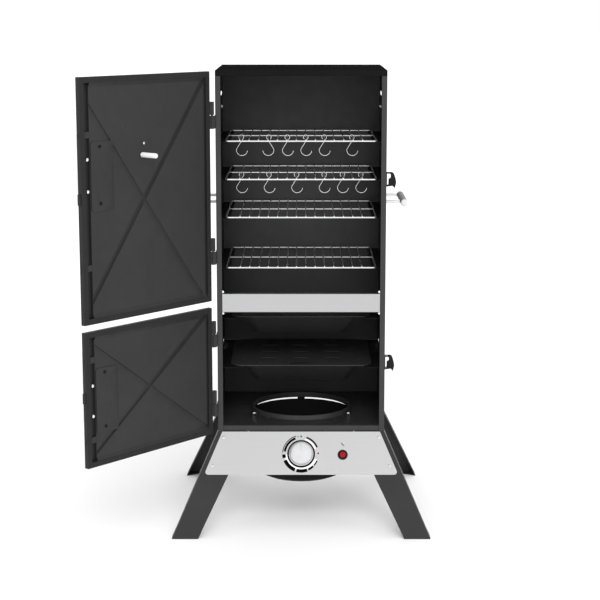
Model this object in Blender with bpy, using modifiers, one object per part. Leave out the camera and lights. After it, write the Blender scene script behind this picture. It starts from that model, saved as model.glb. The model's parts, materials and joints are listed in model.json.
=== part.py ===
"""Two-door gas cabinet smoker on four splayed legs, with its doors standing open.

Metres, +Z up. The parts are drawn in the cabinet's own axes: X to the right, Y back from the
cabinet's front plane, Z up from the ground. An empty called assembly carries them all, and
sets the middle of the whole footprint, open doors included, on the world origin.
"""

import math

import bmesh
import bpy
from mathutils import Matrix, Quaternion, Vector

# Cabinet
WIDTH = 0.420
DEPTH = 0.365
BOTTOM = 0.249
TOP = 1.1546
ROOF_HEIGHT = 0.014
SHEET = 0.0015
FLANGE = 0.013
FLOOR_TOP = 0.2633
RAIL_LOW = 0.556
RAIL_HIGH = 0.602
GAP = 0.0003
HALF = WIDTH / 2
INNER = HALF - SHEET

# Doors, as they stand when closed
DOOR_LEFT = -0.2045
DOOR_RIGHT = 0.2120
DOOR_FRONT = -0.0145
DOOR_BACK = -0.0025
DOOR_SHEET = 0.0012
DOOR_LIP = 0.0135
DOOR_STRIP = 0.017
DOOR_OPEN = math.radians(-131)
PIN_X = -0.2175
PIN_Y = -0.0085
DOOR_SPANS = {"upper": (0.588, 1.153), "lower": (0.2485, 0.571)}
HINGE_HEIGHTS = {"upper": (0.7106, 1.0462), "lower": (0.3234, 0.5015)}
HANDLE_SPANS = {"upper": (0.852, 1.027), "lower": (0.343, 0.520)}
LATCH_HEIGHTS = {"upper": 0.876, "lower": 0.414}
LATCH_Y = 0.014
GAUGE_X = 0.0180
GAUGE_Z = 0.9667

# Racks, from the front wire's middle to the back wire's middle
RACK_HEIGHTS = (0.9815, 0.8870, 0.7925, 0.6665)
RACK_HALF = 0.1865
RACK_FRONT = 0.0126
RACK_BACK = 0.3486
FRAME_WIRE = 0.0042
CROSS_WIRE = 0.0026
BARS = 14
BAR_PITCH = 0.0233
HOOK_BARS = ((0, 3, 5, 7, 9, 12), (0, 3, 6, 9, 11, 13))
HOOK_TURNED = (0, 3)
HOOK_Y = 0.125
HOOK_WIRE = 0.00125

# Pans and burner
PAN_RIM = 0.5376
TRAY_RIM = 0.4110
BURNER_Y = 0.185
HOLE_RADIUS = 0.1245
COLLAR_RADIUS = 0.1315
COLLAR_HEIGHT = 0.0115
BOWL_FLOOR = 0.0905

# Legs and control panel
SPLAY = 0.113
LEG_SHEET = 0.002
KNEE_HEIGHT = 0.022
PANEL_TILT = math.radians(24.4)
KNEE_OUT = (BOTTOM - GAP - KNEE_HEIGHT) * math.tan(PANEL_TILT)
PANEL_LENGTH = 0.111
KNOB_DOWN = 0.058
BUTTON_DOWN = 0.0605
BUTTON_X = 0.1047

# Side handles and vents
HANDLE_X = 0.2575
HANDLE_Z = 0.825
GRIP_SPAN = (0.042, 0.227)
POST_YS = (0.0756, 0.2142)
VENT_Y = 0.294
UPPER_VENT_Z = 1.0835
LOWER_VENT_Z = 0.420
DAMPER_Z = 1.0605

FINISHES = {
    "black_enamel": ((0.035, 0.035, 0.037), 0.45, 0.0),
    "dark_roof": ((0.015, 0.015, 0.016), 0.40, 0.0),
    "black_steel": ((0.045, 0.045, 0.047), 0.50, 0.0),
    "stainless": ((0.66, 0.66, 0.67), 0.32, 1.0),
    "chrome": ((0.80, 0.80, 0.81), 0.12, 1.0),
    "cast_iron": ((0.05, 0.05, 0.05), 0.75, 0.3),
    "brass": ((0.72, 0.52, 0.22), 0.30, 1.0),
    "grip": ((0.28, 0.28, 0.28), 0.55, 0.0),
    "knob": ((0.70, 0.70, 0.71), 0.25, 0.6),
    "red_plastic": ((0.60, 0.02, 0.02), 0.30, 0.0),
    "black_plastic": ((0.02, 0.02, 0.02), 0.45, 0.0),
    "ceramic": ((0.85, 0.84, 0.80), 0.40, 0.0),
}

for leftover in list(bpy.data.objects):
    bpy.data.objects.remove(leftover)

PARTS = bpy.data.collections.new("gas_cabinet_smoker")
CUTTERS = bpy.data.collections.new("cutters")
bpy.context.scene.collection.children.link(PARTS)
bpy.context.scene.collection.children.link(CUTTERS)


def empty(name, location=(0, 0, 0), rotation=(0, 0, 0), parent=None):
    obj = bpy.data.objects.new(name, None)
    obj.location = location
    obj.rotation_euler = rotation
    obj.parent = parent
    PARTS.objects.link(obj)
    return obj


ASSEMBLY = empty("assembly")


def mesh_object(name, bm):
    mesh = bpy.data.meshes.new(name)
    bm.to_mesh(mesh)
    bm.free()
    obj = bpy.data.objects.new(name, mesh)
    PARTS.objects.link(obj)
    return obj


def box(name, low, high):
    low, high = Vector(low), Vector(high)
    bm = bmesh.new()
    bmesh.ops.create_cube(bm, size=1.0)
    bmesh.ops.scale(bm, vec=high - low, verts=bm.verts)
    bmesh.ops.translate(bm, vec=(low + high) / 2, verts=bm.verts)
    return mesh_object(name, bm)


def cylinder(name, radius, start, end, segments=20):
    start, end = Vector(start), Vector(end)
    bm = bmesh.new()
    bmesh.ops.create_cone(
        bm,
        cap_ends=True,
        segments=segments,
        radius1=radius,
        radius2=radius,
        depth=(end - start).length,
    )
    turn = (end - start).to_track_quat("Z", "Y").to_matrix().to_4x4()
    bm.transform(Matrix.Translation((start + end) / 2) @ turn)
    return mesh_object(name, bm)


def baked(obj):
    """Turn a curve, or a mesh with modifiers, into the plain welded mesh that it makes."""
    bpy.context.view_layer.update()
    graph = bpy.context.evaluated_depsgraph_get()
    mesh = bpy.data.meshes.new_from_object(obj.evaluated_get(graph))
    bm = bmesh.new()
    bm.from_mesh(mesh)
    bm.transform(obj.matrix_world)
    bmesh.ops.remove_doubles(bm, verts=bm.verts, dist=1e-6)
    bmesh.ops.recalc_face_normals(bm, faces=bm.faces)
    bpy.data.meshes.remove(mesh)
    name = obj.name
    bpy.data.objects.remove(obj)
    return mesh_object(name, bm)


def boolean(obj, tool, operation):
    modifier = obj.modifiers.new(operation.lower(), "BOOLEAN")
    modifier.operation = operation
    modifier.object = tool


def join(obj, *tools):
    """Weld other solids onto this one, so that they make one body."""
    for tool in tools:
        boolean(obj, tool, "UNION")
        obj = baked(obj)
        bpy.data.objects.remove(tool)
    return obj


def cut(obj, *tools):
    """Cut other solids out of this one. They stay behind as hidden cutters that ride on it."""
    for tool in tools:
        boolean(obj, tool, "DIFFERENCE")
        PARTS.objects.unlink(tool)
        CUTTERS.objects.link(tool)
        tool.parent = obj
        tool.hide_render = True
        tool.display_type = "WIRE"
    return obj


def turned(name, profile, segments=32):
    """A solid of revolution about Z, from (radius, height) points that run down its outside."""
    bm = bmesh.new()
    verts = [bm.verts.new((radius, 0, height)) for radius, height in profile]
    for first, second in zip(verts, verts[1:]):
        bm.edges.new((first, second))
    obj = mesh_object(name, bm)
    screw = obj.modifiers.new("turn", "SCREW")
    screw.steps = segments
    screw.render_steps = segments
    screw.use_merge_vertices = True
    screw.merge_threshold = 1e-5
    return baked(obj)


def outline_solid(name, outlines, thickness, matrix=None):
    """A flat sheet with these outlines, centred on its own XY plane, then carried by matrix."""
    curve = bpy.data.curves.new(name, "CURVE")
    curve.dimensions = "2D"
    curve.fill_mode = "BOTH"
    curve.extrude = thickness / 2
    for outline in outlines:
        spline = curve.splines.new("POLY")
        spline.points.add(len(outline) - 1)
        spline.use_cyclic_u = True
        for point, (x, y) in zip(spline.points, outline):
            point.co = (x, y, 0, 1)
    obj = bpy.data.objects.new(name, curve)
    PARTS.objects.link(obj)
    if matrix:
        obj.matrix_world = matrix
    return baked(obj)


def tube(name, points, radius, resolution=2):
    curve = bpy.data.curves.new(name, "CURVE")
    curve.dimensions = "3D"
    curve.bevel_depth = radius
    curve.bevel_resolution = resolution
    curve.use_fill_caps = True
    spline = curve.splines.new("POLY")
    spline.points.add(len(points) - 1)
    for point, place in zip(spline.points, points):
        point.co = (*place, 1)
    obj = bpy.data.objects.new(name, curve)
    PARTS.objects.link(obj)
    return baked(obj)


def arc(centre, radius, start, end, steps):
    """Points of an arc in a plane, from one angle in degrees to another."""
    angles = [math.radians(start + (end - start) * i / steps) for i in range(steps + 1)]
    return [
        (centre[0] + radius * math.cos(a), centre[1] + radius * math.sin(a)) for a in angles
    ]


def rounded_rectangle(left, right, near, far, radius, steps=3):
    return (
        arc((right - radius, near + radius), radius, -90, 0, steps)
        + arc((right - radius, far - radius), radius, 0, 90, steps)
        + arc((left + radius, far - radius), radius, 90, 180, steps)
        + arc((left + radius, near + radius), radius, 180, 270, steps)
    )


def rounded_path(corners, radius, steps=4):
    """The corners' path in space, with each inner corner rounded off."""
    corners = [Vector(corner) for corner in corners]
    path = [corners[0]]
    for before, corner, after in zip(corners, corners[1:], corners[2:]):
        back = (before - corner).normalized()
        ahead = (after - corner).normalized()
        half_angle = back.angle(ahead) / 2
        reach = radius / math.tan(half_angle)
        centre = corner + (back + ahead).normalized() * radius / math.sin(half_angle)
        start = corner + back * reach - centre
        end = corner + ahead * reach - centre
        sweep = start.rotation_difference(end)
        turns = [Quaternion().slerp(sweep, i / steps) for i in range(steps + 1)]
        path += [centre + turn @ start for turn in turns]
    return path + [corners[-1]]


def lofted(name, rings, caps):
    """Faces between successive rings of points. caps closes the first and the last."""
    bm = bmesh.new()
    loops = [[bm.verts.new(point) for point in ring] for ring in rings]
    for lower, upper in zip(loops, loops[1:]):
        for i in range(len(lower)):
            j = (i + 1) % len(lower)
            bm.faces.new((lower[i], lower[j], upper[j], upper[i]))
    if caps[0]:
        bm.faces.new(reversed(loops[0]))
    if caps[1]:
        bm.faces.new(loops[-1])
    bmesh.ops.recalc_face_normals(bm, faces=bm.faces)
    return mesh_object(name, bm)


def ready(obj, finish, parent=ASSEMBLY, origin=None, smooth=None):
    """Give a part its material, shading and parent. origin is the parent's place when built."""
    colour, roughness, metallic = FINISHES[finish]
    material = bpy.data.materials.new(obj.name + "_finish")
    material.use_nodes = True
    shader = material.node_tree.nodes["Principled BSDF"]
    shader.inputs["Base Color"].default_value = (*colour, 1)
    shader.inputs["Roughness"].default_value = roughness
    shader.inputs["Metallic"].default_value = metallic
    if not obj.data.materials:
        obj.data.materials.append(material)
    if smooth:
        obj.data.shade_smooth()
        obj.data.set_sharp_from_angle(angle=math.radians(smooth))
    obj.parent = parent
    if origin:
        obj.location = -Vector(origin)
    return obj


# ------------------------------------------------------------------ cabinet


def vent_cutter(side, height, length):
    reach = 0.010
    return box(
        "vent_cutter",
        (side * HALF - reach, VENT_Y - length / 2, height - 0.0055),
        (side * HALF + reach, VENT_Y + length / 2, height + 0.0055),
    )


def cabinet_wrap():
    """Sides and back in one folded sheet, with a flange turned in along each front edge."""
    lip = HALF - FLANGE
    outline = [
        (-lip, 0),
        (-HALF, 0),
        (-HALF, DEPTH),
        (HALF, DEPTH),
        (HALF, 0),
        (lip, 0),
        (lip, SHEET),
        (INNER, SHEET),
        (INNER, DEPTH - SHEET),
        (-INNER, DEPTH - SHEET),
        (-INNER, SHEET),
        (-lip, SHEET),
    ]
    high = TOP - ROOF_HEIGHT - GAP
    place = Matrix.Translation((0, 0, (BOTTOM + high) / 2))
    wrap = outline_solid("cabinet_wrap", [outline], high - BOTTOM, place)
    for side in (-1, 1):
        cut(wrap, vent_cutter(side, UPPER_VENT_Z, 0.084))
        cut(wrap, vent_cutter(side, LOWER_VENT_Z, 0.072))
    return ready(wrap, "black_enamel")


def roof_panel():
    roof = box("roof_panel", (-HALF, 0, TOP - ROOF_HEIGHT), (HALF, DEPTH, TOP))
    inside = box(
        "roof_inside",
        (-INNER, SHEET, TOP - ROOF_HEIGHT - 0.01),
        (INNER, DEPTH - SHEET, TOP - SHEET),
    )
    return ready(cut(roof, inside), "dark_roof")


def cabinet_floor():
    """A tray with its edges folded down, and a raised collar pressed round the burner hole."""
    near = SHEET + GAP
    far = DEPTH - SHEET - GAP
    edge = INNER - GAP
    floor = box("cabinet_floor", (-edge, near, BOTTOM), (edge, far, FLOOR_TOP))
    inside = box(
        "floor_inside",
        (SHEET - edge, near + SHEET, BOTTOM - 0.01),
        (edge - SHEET, far - SHEET, FLOOR_TOP - SHEET),
    )
    hole = cylinder(
        "floor_hole",
        COLLAR_RADIUS - SHEET / 2,
        (0, BURNER_Y, BOTTOM),
        (0, BURNER_Y, TOP),
        32,
    )
    cut(floor, inside, hole)
    crest = FLOOR_TOP + COLLAR_HEIGHT
    foot = FLOOR_TOP - SHEET
    collar = turned(
        "collar",
        [
            (HOLE_RADIUS + SHEET, foot - 0.001),
            (HOLE_RADIUS + SHEET, crest - SHEET),
            (COLLAR_RADIUS - 0.003, crest - SHEET),
            (COLLAR_RADIUS - SHEET, foot),
            (COLLAR_RADIUS, foot),
            (COLLAR_RADIUS, FLOOR_TOP),
            (COLLAR_RADIUS - 0.002, crest),
            (HOLE_RADIUS, crest),
            (HOLE_RADIUS, foot - 0.001),
            (HOLE_RADIUS + SHEET, foot - 0.001),
        ][::-1],
        32,
    )
    collar.location = (0, BURNER_Y, 0)
    floor = join(baked(floor), collar)
    return ready(floor, "black_enamel", smooth=35)


def center_rail():
    """A stainless channel across the front, between the two door openings."""
    edge = HALF - FLANGE - GAP
    rail = box("center_rail", (-edge, 0, RAIL_LOW), (edge, 0.018, RAIL_HIGH))
    inside = box(
        "rail_inside",
        (-HALF, 0.0012, RAIL_LOW + 0.0012),
        (HALF, 0.030, RAIL_HIGH - 0.0012),
    )
    return ready(cut(rail, inside), "stainless")


def rack_rail(name, side):
    """The ledges along one side wall that carry the racks, the water pan and the chip tray."""
    wall = side * (INNER - GAP)

    def ledge(reach, top):
        inner = side * reach
        low = (min(wall, inner), 0.016, top - 0.0015)
        high = (max(wall, inner), 0.350, top)
        return box("ledge", low, high)

    def upright(y):
        back = wall - side * 0.0015
        low = (min(wall, back), y - 0.007, 0.390)
        high = (max(wall, back), y + 0.007, 0.990)
        return box("upright", low, high)

    tops = [height - FRAME_WIRE / 2 - GAP for height in RACK_HEIGHTS]
    rail = upright(0.045)
    rail.name = name
    pieces = [upright(0.240)] + [ledge(0.177, top) for top in tops]
    pieces += [ledge(0.162, PAN_RIM - GAP), ledge(0.162, TRAY_RIM - GAP)]
    rail = join(rail, *pieces[1:])
    rail = join(rail, pieces[0])
    return ready(rail, "black_steel")


# ------------------------------------------------------------------ legs and panel


def leg(name, side, end):
    """A folded angle that splays outwards and backwards or forwards, plated at both ends."""
    corner_y = 0 if end < 0 else DEPTH
    levels = (
        (BOTTOM - GAP, 0.0, 0.0, 0.078, 0.045),
        (KNEE_HEIGHT, KNEE_OUT, KNEE_OUT, 0.066, 0.032),
        (0.0, SPLAY, 0.108, 0.066, 0.036),
    )
    rings = []
    for height, out_x, out_y, front, flank in levels:
        x = side * (HALF + out_x)
        y = corner_y + end * out_y
        section = [
            (0, 0),
            (front, 0),
            (front, LEG_SHEET),
            (LEG_SHEET, LEG_SHEET),
            (LEG_SHEET, flank),
            (0, flank),
        ]
        rings.append([(x - side * u, y - end * v, height) for u, v in section])
    shape = lofted(name, rings, (True, True))

    def plate(level, low, high):
        _, out_x, out_y, front, flank = level
        x = side * (HALF + out_x)
        y = corner_y + end * out_y
        inset = 0.0008
        corners = [(inset, inset), (front - inset, inset), (inset, flank - inset)]
        ring = [(x - side * u, y - end * v) for u, v in corners]
        rings = [[(px, py, z) for px, py in ring] for z in (low, high)]
        return lofted("plate", rings, (True, True))

    shape = join(shape, plate(levels[2], 0.0, 0.0025))
    shape = join(shape, plate(levels[0], BOTTOM - GAP - 0.0025, BOTTOM - GAP))
    return ready(shape, "black_steel")


def on_panel(x, down, out):
    """A point in the cabinet's axes, from the panel plane's own: across, down and outwards."""
    return Vector(
        (
            x,
            -down * math.sin(PANEL_TILT) - out * math.cos(PANEL_TILT),
            BOTTOM - down * math.cos(PANEL_TILT) + out * math.sin(PANEL_TILT),
        )
    )


PANEL_PLANE = empty(
    "panel_plane", (0, 0, BOTTOM), (math.pi / 2 - PANEL_TILT, 0, 0), ASSEMBLY
)


def control_panel():
    """The stainless plate over the front legs, wider at its foot, with two holes."""
    top, foot, radius = 0.1995, 0.243, 0.007
    low, high = -PANEL_LENGTH, -0.0015
    slope = math.degrees(math.atan2(foot - top, high - low))
    right = arc((foot - radius - 0.002, low + radius), radius, -90, slope, 5)
    left = [(-x, y) for x, y in reversed(right)]
    outline = right + [(top, high), (-top, high)] + left
    thick = 0.0012
    place = Matrix.Translation((0, 0, GAP + thick / 2))
    panel = outline_solid("control_panel", [outline], thick, place)
    holes = (
        cylinder("shaft_hole", 0.0065, (0, -KNOB_DOWN, -0.02), (0, -KNOB_DOWN, 0.02), 16),
        cylinder(
            "button_hole",
            0.0095,
            (BUTTON_X, -BUTTON_DOWN, -0.02),
            (BUTTON_X, -BUTTON_DOWN, 0.02),
            16,
        ),
    )
    return ready(cut(panel, *holes), "stainless", PANEL_PLANE)


PANEL_FACE = GAP + 0.0012


def control_knob():
    """A domed dial that turns on the valve's shaft."""
    axis = empty(
        "control_knob_axis", (0, -KNOB_DOWN, PANEL_FACE), (0, 0, 0), PANEL_PLANE
    )
    profile = [
        (0.0, 0.0225),
        (0.012, 0.0220),
        (0.022, 0.0205),
        (0.0265, 0.0180),
        (0.0285, 0.0060),
        (0.0310, 0.0040),
        (0.0310, 0.0010),
        (0.0043, 0.0010),
        (0.0043, 0.0120),
        (0.0, 0.0120),
    ]
    knob = turned("control_knob", profile, 24)
    pointer = box("pointer", (-0.0022, 0.006, 0.015), (0.0022, 0.0245, 0.0240))
    return ready(join(knob, pointer), "knob", axis, smooth=35)


def gas_valve():
    """The valve behind the panel, its shaft, its jet and its inlet on the left."""
    body = cylinder(
        "gas_valve", 0.0140, on_panel(0, KNOB_DOWN, -0.042), on_panel(0, KNOB_DOWN, -0.003)
    )
    shaft = cylinder(
        "shaft", 0.0038, on_panel(0, KNOB_DOWN, -0.010), on_panel(0, KNOB_DOWN, 0.0120), 12
    )
    jet_start = on_panel(0, KNOB_DOWN, -0.034)
    jet_end = Vector((0, 0.0290, jet_start.z))
    jet = cylinder("jet", 0.0050, jet_start, jet_end, 12)
    inlet_start = on_panel(0, KNOB_DOWN, -0.024)
    inlet = cylinder("inlet", 0.0080, inlet_start, inlet_start + Vector((-0.050, 0, 0)), 16)
    nut = cylinder(
        "nut",
        0.0110,
        inlet_start + Vector((-0.034, 0, 0)),
        inlet_start + Vector((-0.020, 0, 0)),
        6,
    )
    return ready(join(body, shaft, jet, inlet, nut), "brass", smooth=35)


JET_Z = on_panel(0, KNOB_DOWN, -0.034).z
SHEATH_OUTER = Vector((0.1004, 0.0931, 0.1726))
SHEATH_INNER = Vector((0.0520, 0.1470, 0.1880))


def gas_burner():
    """A round cast burner with its mixing tube running forward to the valve's jet."""
    head = turned(
        "gas_burner",
        [
            (0.0, 0.030),
            (0.020, 0.030),
            (0.038, 0.024),
            (0.046, 0.016),
            (0.046, 0.000),
            (0.038, -0.010),
            (0.0, -0.012),
        ],
        24,
    )
    head.location = (0, BURNER_Y, JET_Z)
    head = baked(head)
    start = Vector((0, 0.0320, JET_Z))
    mixer = cylinder("mixer", 0.0110, start, (0, BURNER_Y - 0.02, JET_Z), 20)
    mouth = cylinder("mouth", 0.0140, start, start + Vector((0, 0.022, 0)), 20)
    bore = cylinder(
        "bore", 0.0085, start - Vector((0, 0.01, 0)), start + Vector((0, 0.060, 0)), 16
    )
    foot = cylinder(
        "foot", 0.0080, (0, BURNER_Y, BOWL_FLOOR + 0.0018), (0, BURNER_Y, JET_Z - 0.005), 12
    )
    burner = join(head, mixer, mouth, foot)
    return ready(cut(burner, bore), "cast_iron", smooth=35)


def burner_bowl():
    """The open bowl below the floor that shields the burner, hung on three straps."""
    rim, low = FLOOR_TOP - SHEET - 0.0078, BOWL_FLOOR
    wall = 0.0014
    bowl = turned(
        "burner_bowl",
        [
            (0.0, low + wall),
            (0.098, low + wall),
            (0.116, low + 0.010),
            (0.124, low + 0.034),
            (0.1345, rim - 0.004),
            (0.1370, rim),
            (0.1388, rim - 0.001),
            (0.1361, rim - 0.006),
            (0.1256, low + 0.034),
            (0.1172, low + 0.009),
            (0.0988, low),
            (0.0, low),
        ],
        28,
    )
    bowl.location = (0, BURNER_Y, 0)
    bowl = baked(bowl)
    straps = []
    for angle in (90, 210, 330):
        strap = box("strap", (0.1350, -0.010, rim - 0.008), (0.1368, 0.010, FLOOR_TOP - SHEET - GAP))
        strap.location = (0, BURNER_Y, 0)
        strap.rotation_euler.z = math.radians(angle)
        straps.append(baked(strap))
    bowl = join(bowl, *straps)
    mixer_hole = cylinder("mixer_hole", 0.0145, (0, 0, JET_Z), (0, BURNER_Y - 0.08, JET_Z), 20)
    sheath_hole = cylinder("sheath_hole", 0.0036, SHEATH_OUTER, SHEATH_INNER, 12)
    return ready(cut(bowl, mixer_hole, sheath_hole), "black_enamel", smooth=35)


def igniter_body():
    """The piezo igniter's barrel behind the panel, with its bezel in front of it."""
    barrel = turned(
        "igniter_body",
        [
            (0.0085, 0.0035),
            (0.0118, 0.0040),
            (0.0130, 0.0018),
            (0.0130, PANEL_FACE + GAP),
            (0.0090, PANEL_FACE + GAP),
            (0.0090, -0.030),
            (0.0, -0.030),
            (0.0, -0.012),
            (0.0085, -0.012),
            (0.0085, 0.0035),
        ],
        24,
    )
    barrel.location = (BUTTON_X, -BUTTON_DOWN, 0)
    return ready(barrel, "black_plastic", PANEL_PLANE, smooth=35)


def igniter_button():
    """The red push button. It slides into its barrel along the panel's normal."""
    axis = empty("igniter_button_axis", (BUTTON_X, -BUTTON_DOWN, 0), (0, 0, 0), PANEL_PLANE)
    profile = [
        (0.0, 0.0092),
        (0.0050, 0.0088),
        (0.0074, 0.0072),
        (0.0080, 0.0050),
        (0.0080, -0.0070),
        (0.0, -0.0070),
    ]
    button = turned("igniter_button", profile, 24)
    return ready(button, "red_plastic", axis, smooth=35)


def igniter_electrode():
    """A ceramic sheath through the bowl's side, its spark wire, and the lead to the igniter."""
    sheath = cylinder("igniter_electrode", 0.0030, SHEATH_OUTER, SHEATH_INNER, 12)
    inward = (SHEATH_INNER - SHEATH_OUTER).normalized()
    tip = SHEATH_INNER - inward * 0.004
    spark = [tip, SHEATH_INNER + inward * 0.008, SHEATH_INNER + Vector((0, 0.004, 0.018))]
    wire = tube("spark_wire", rounded_path(spark, 0.003, 2), 0.0009, 1)
    socket = on_panel(BUTTON_X, BUTTON_DOWN, -0.0305)
    route = [
        SHEATH_OUTER + inward * 0.004,
        SHEATH_OUTER - inward * 0.020,
        socket + Vector((0, 0.026, -0.010)),
        socket,
    ]
    lead = tube("lead", rounded_path(route, 0.008, 3), 0.0016, 1)
    return ready(join(sheath, wire, lead), "ceramic", smooth=35)


# ------------------------------------------------------------------ doors


def door_axis(which):
    return empty(
        which + "_door_axis", (PIN_X, PIN_Y, 0), (0, 0, DOOR_OPEN), ASSEMBLY
    )


DOOR_AXES = {which: door_axis(which) for which in DOOR_SPANS}
PIN = (PIN_X, PIN_Y, 0)


def gauge_hole(name):
    start = (GAUGE_X, -0.05, GAUGE_Z)
    end = (GAUGE_X, 0.05, GAUGE_Z)
    return cylinder(name, 0.0062, start, end, 16)


def door_skin(which):
    """The door's outer sheet, folded back all round with a narrow lip, and its latch keeper."""
    low, high = DOOR_SPANS[which]
    skin = box(
        which + "_door_skin", (DOOR_LEFT, DOOR_FRONT, low), (DOOR_RIGHT, DOOR_BACK, high)
    )
    hollow = box(
        "door_hollow",
        (DOOR_LEFT + DOOR_SHEET, DOOR_FRONT + DOOR_SHEET, low + DOOR_SHEET),
        (DOOR_RIGHT - DOOR_SHEET, DOOR_BACK - DOOR_SHEET, high - DOOR_SHEET),
    )
    mouth = box(
        "door_mouth",
        (DOOR_LEFT + DOOR_LIP, DOOR_BACK - 0.004, low + DOOR_LIP),
        (DOOR_RIGHT - DOOR_LIP, DOOR_BACK + 0.004, high - DOOR_LIP),
    )
    cut(skin, hollow, mouth)
    skin = baked(skin)
    keeper_z = LATCH_HEIGHTS[which] + 0.002
    keeper = box(
        "keeper",
        (DOOR_RIGHT - 0.0006, DOOR_FRONT + 0.002, keeper_z - 0.0125),
        (DOOR_RIGHT + 0.0040, DOOR_BACK - 0.002, keeper_z + 0.0125),
    )
    skin = join(skin, keeper)
    if which == "upper":
        cut(skin, gauge_hole("skin_gauge_hole"))
    return ready(skin, "black_enamel", DOOR_AXES[which], PIN)


def door_liner(which):
    """The inner panel, creased from corner to corner, with two tabs across the edge strip."""
    low, high = DOOR_SPANS[which]
    left = DOOR_LEFT + DOOR_SHEET + GAP
    right = DOOR_RIGHT - DOOR_LIP - DOOR_STRIP
    low += DOOR_SHEET + GAP
    high -= DOOR_SHEET + GAP
    back = DOOR_BACK - DOOR_SHEET - GAP
    crest = back - 0.0035
    thick = 0.0010
    bm = bmesh.new()
    inset = DOOR_LIP
    corners = [(left, low), (right, low), (right, high), (left, high)]
    inner = [
        (left + inset, low + inset),
        (right - 0.004, low + inset),
        (right - 0.004, high - inset),
        (left + inset, high - inset),
    ]
    rim = [bm.verts.new((x, back, z)) for x, z in corners]
    bend = [bm.verts.new((x, back, z)) for x, z in inner]
    peak = bm.verts.new(((left + right) / 2, crest, (low + high) / 2))
    for i in range(4):
        j = (i + 1) % 4
        bm.faces.new((rim[i], rim[j], bend[j], bend[i]))
        bm.faces.new((bend[i], bend[j], peak))
    bmesh.ops.recalc_face_normals(bm, faces=bm.faces)
    liner = mesh_object(which + "_door_liner", bm)
    solidify = liner.modifiers.new("sheet", "SOLIDIFY")
    solidify.thickness = thick
    solidify.offset = -1 if liner.data.polygons[0].normal.y > 0 else 1
    liner = baked(liner)
    tabs = []
    for share in (0.22, 0.78):
        z = low + (high - low) * share
        tabs.append(
            box(
                "tab",
                (right - 0.003, back - thick, z - 0.008),
                (DOOR_RIGHT - DOOR_SHEET - GAP, back, z + 0.008),
            )
        )
    liner = join(liner, *tabs)
    if which == "upper":
        cut(liner, gauge_hole("liner_gauge_hole"))
    return ready(liner, "black_enamel", DOOR_AXES[which], PIN)


def door_handle(which):
    """A stainless bar handle on the door's outside, near its free edge."""
    low, high = HANDLE_SPANS[which]
    x = DOOR_RIGHT - 0.030
    face = DOOR_FRONT - GAP
    out = face - 0.030
    corners = [(x, face, low), (x, out, low), (x, out, high), (x, face, high)]
    handle = tube(which + "_door_handle", rounded_path(corners, 0.012, 4), 0.0050, 3)
    return ready(handle, "stainless", DOOR_AXES[which], PIN, smooth=40)


def thermometer():
    """A dial gauge through the upper door, with its stem reaching into the cabinet."""
    stem_end = DOOR_BACK + 0.044
    face = DOOR_FRONT - GAP
    gauge = turned(
        "thermometer",
        [
            (0.0, 0.0115),
            (0.0255, 0.0115),
            (0.0270, 0.0145),
            (0.0290, 0.0145),
            (0.0300, 0.0125),
            (0.0300, 0.0),
            (0.0055, 0.0),
            (0.0055, face - stem_end + 0.003),
            (0.0030, face - stem_end),
            (0.0, face - stem_end),
        ],
        24,
    )
    gauge.rotation_euler.x = math.pi / 2
    gauge.location = (GAUGE_X, face, GAUGE_Z)
    gauge = baked(gauge)
    return ready(gauge, "stainless", DOOR_AXES["upper"], PIN, smooth=35)


KNUCKLE = 0.0054
HINGE_HALF = 0.033
PIN_RADIUS = 0.0028


def cabinet_leaf(name, height):
    """The hinge half on the cabinet's side, with the pin standing up from its knuckle."""
    low, high = height - HINGE_HALF, height - 0.001
    wall = -HALF - GAP
    knuckle = cylinder(name, KNUCKLE, (PIN_X, PIN_Y, low), (PIN_X, PIN_Y, high), 16)
    pin = cylinder(
        "pin", PIN_RADIUS, (PIN_X, PIN_Y, low + 0.01), (PIN_X, PIN_Y, height + 0.030), 16
    )
    web = box(
        "web", (PIN_X + 0.001, PIN_Y - 0.003, low + 0.001), (wall, PIN_Y + 0.006, high - 0.001)
    )
    plate = box(
        "plate", (wall - 0.002, PIN_Y - 0.002, low + 0.0005), (wall, 0.028, high - 0.0005)
    )
    return ready(join(knuckle, pin, web, plate), "black_steel", smooth=35)


def door_leaf(name, which, height):
    """The hinge half welded on the door's edge. It drops over the pin."""
    low, high = height + 0.001, height + HINGE_HALF
    knuckle = cylinder(name, KNUCKLE, (PIN_X, PIN_Y, low), (PIN_X, PIN_Y, high), 16)
    edge = DOOR_LEFT - GAP
    web = box(
        "web",
        (PIN_X + 0.0045, PIN_Y - 0.0045, low + 0.001),
        (edge, PIN_Y + 0.0045, high - 0.001),
    )
    leaf = join(knuckle, web)
    bore = cylinder(
        "bore",
        PIN_RADIUS + 0.0004,
        (PIN_X, PIN_Y, low - 0.01),
        (PIN_X, PIN_Y, high + 0.01),
        16,
    )
    return ready(cut(leaf, bore), "black_steel", DOOR_AXES[which], PIN, smooth=35)


def latch_lever(which):
    """A hooked lever on the right wall. It stands up when free, and swings forward to latch."""
    height = LATCH_HEIGHTS[which]
    axis = empty(which + "_latch_axis", (HALF, LATCH_Y, height), (0, 0, 0), ASSEMBLY)
    hub = cylinder(which + "_latch_lever", 0.0095, (GAP, 0, 0), (0.0130, 0, 0), 20)
    arm = box("arm", (0.0075, -0.0045, 0.0), (0.0105, 0.0060, 0.0335))
    tip = box("tip", (0.0032, -0.0070, 0.0308), (0.0105, 0.0080, 0.0338))
    thumb = tube(
        "thumb",
        rounded_path([(0.0085, 0, 0.020), (0.0200, 0, 0.018), (0.0215, 0, -0.006)], 0.007, 4),
        0.0032,
        1,
    )
    lever = join(hub, arm, tip, thumb)
    return ready(lever, "black_plastic", axis, smooth=35)


# ------------------------------------------------------------------ side fittings


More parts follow.
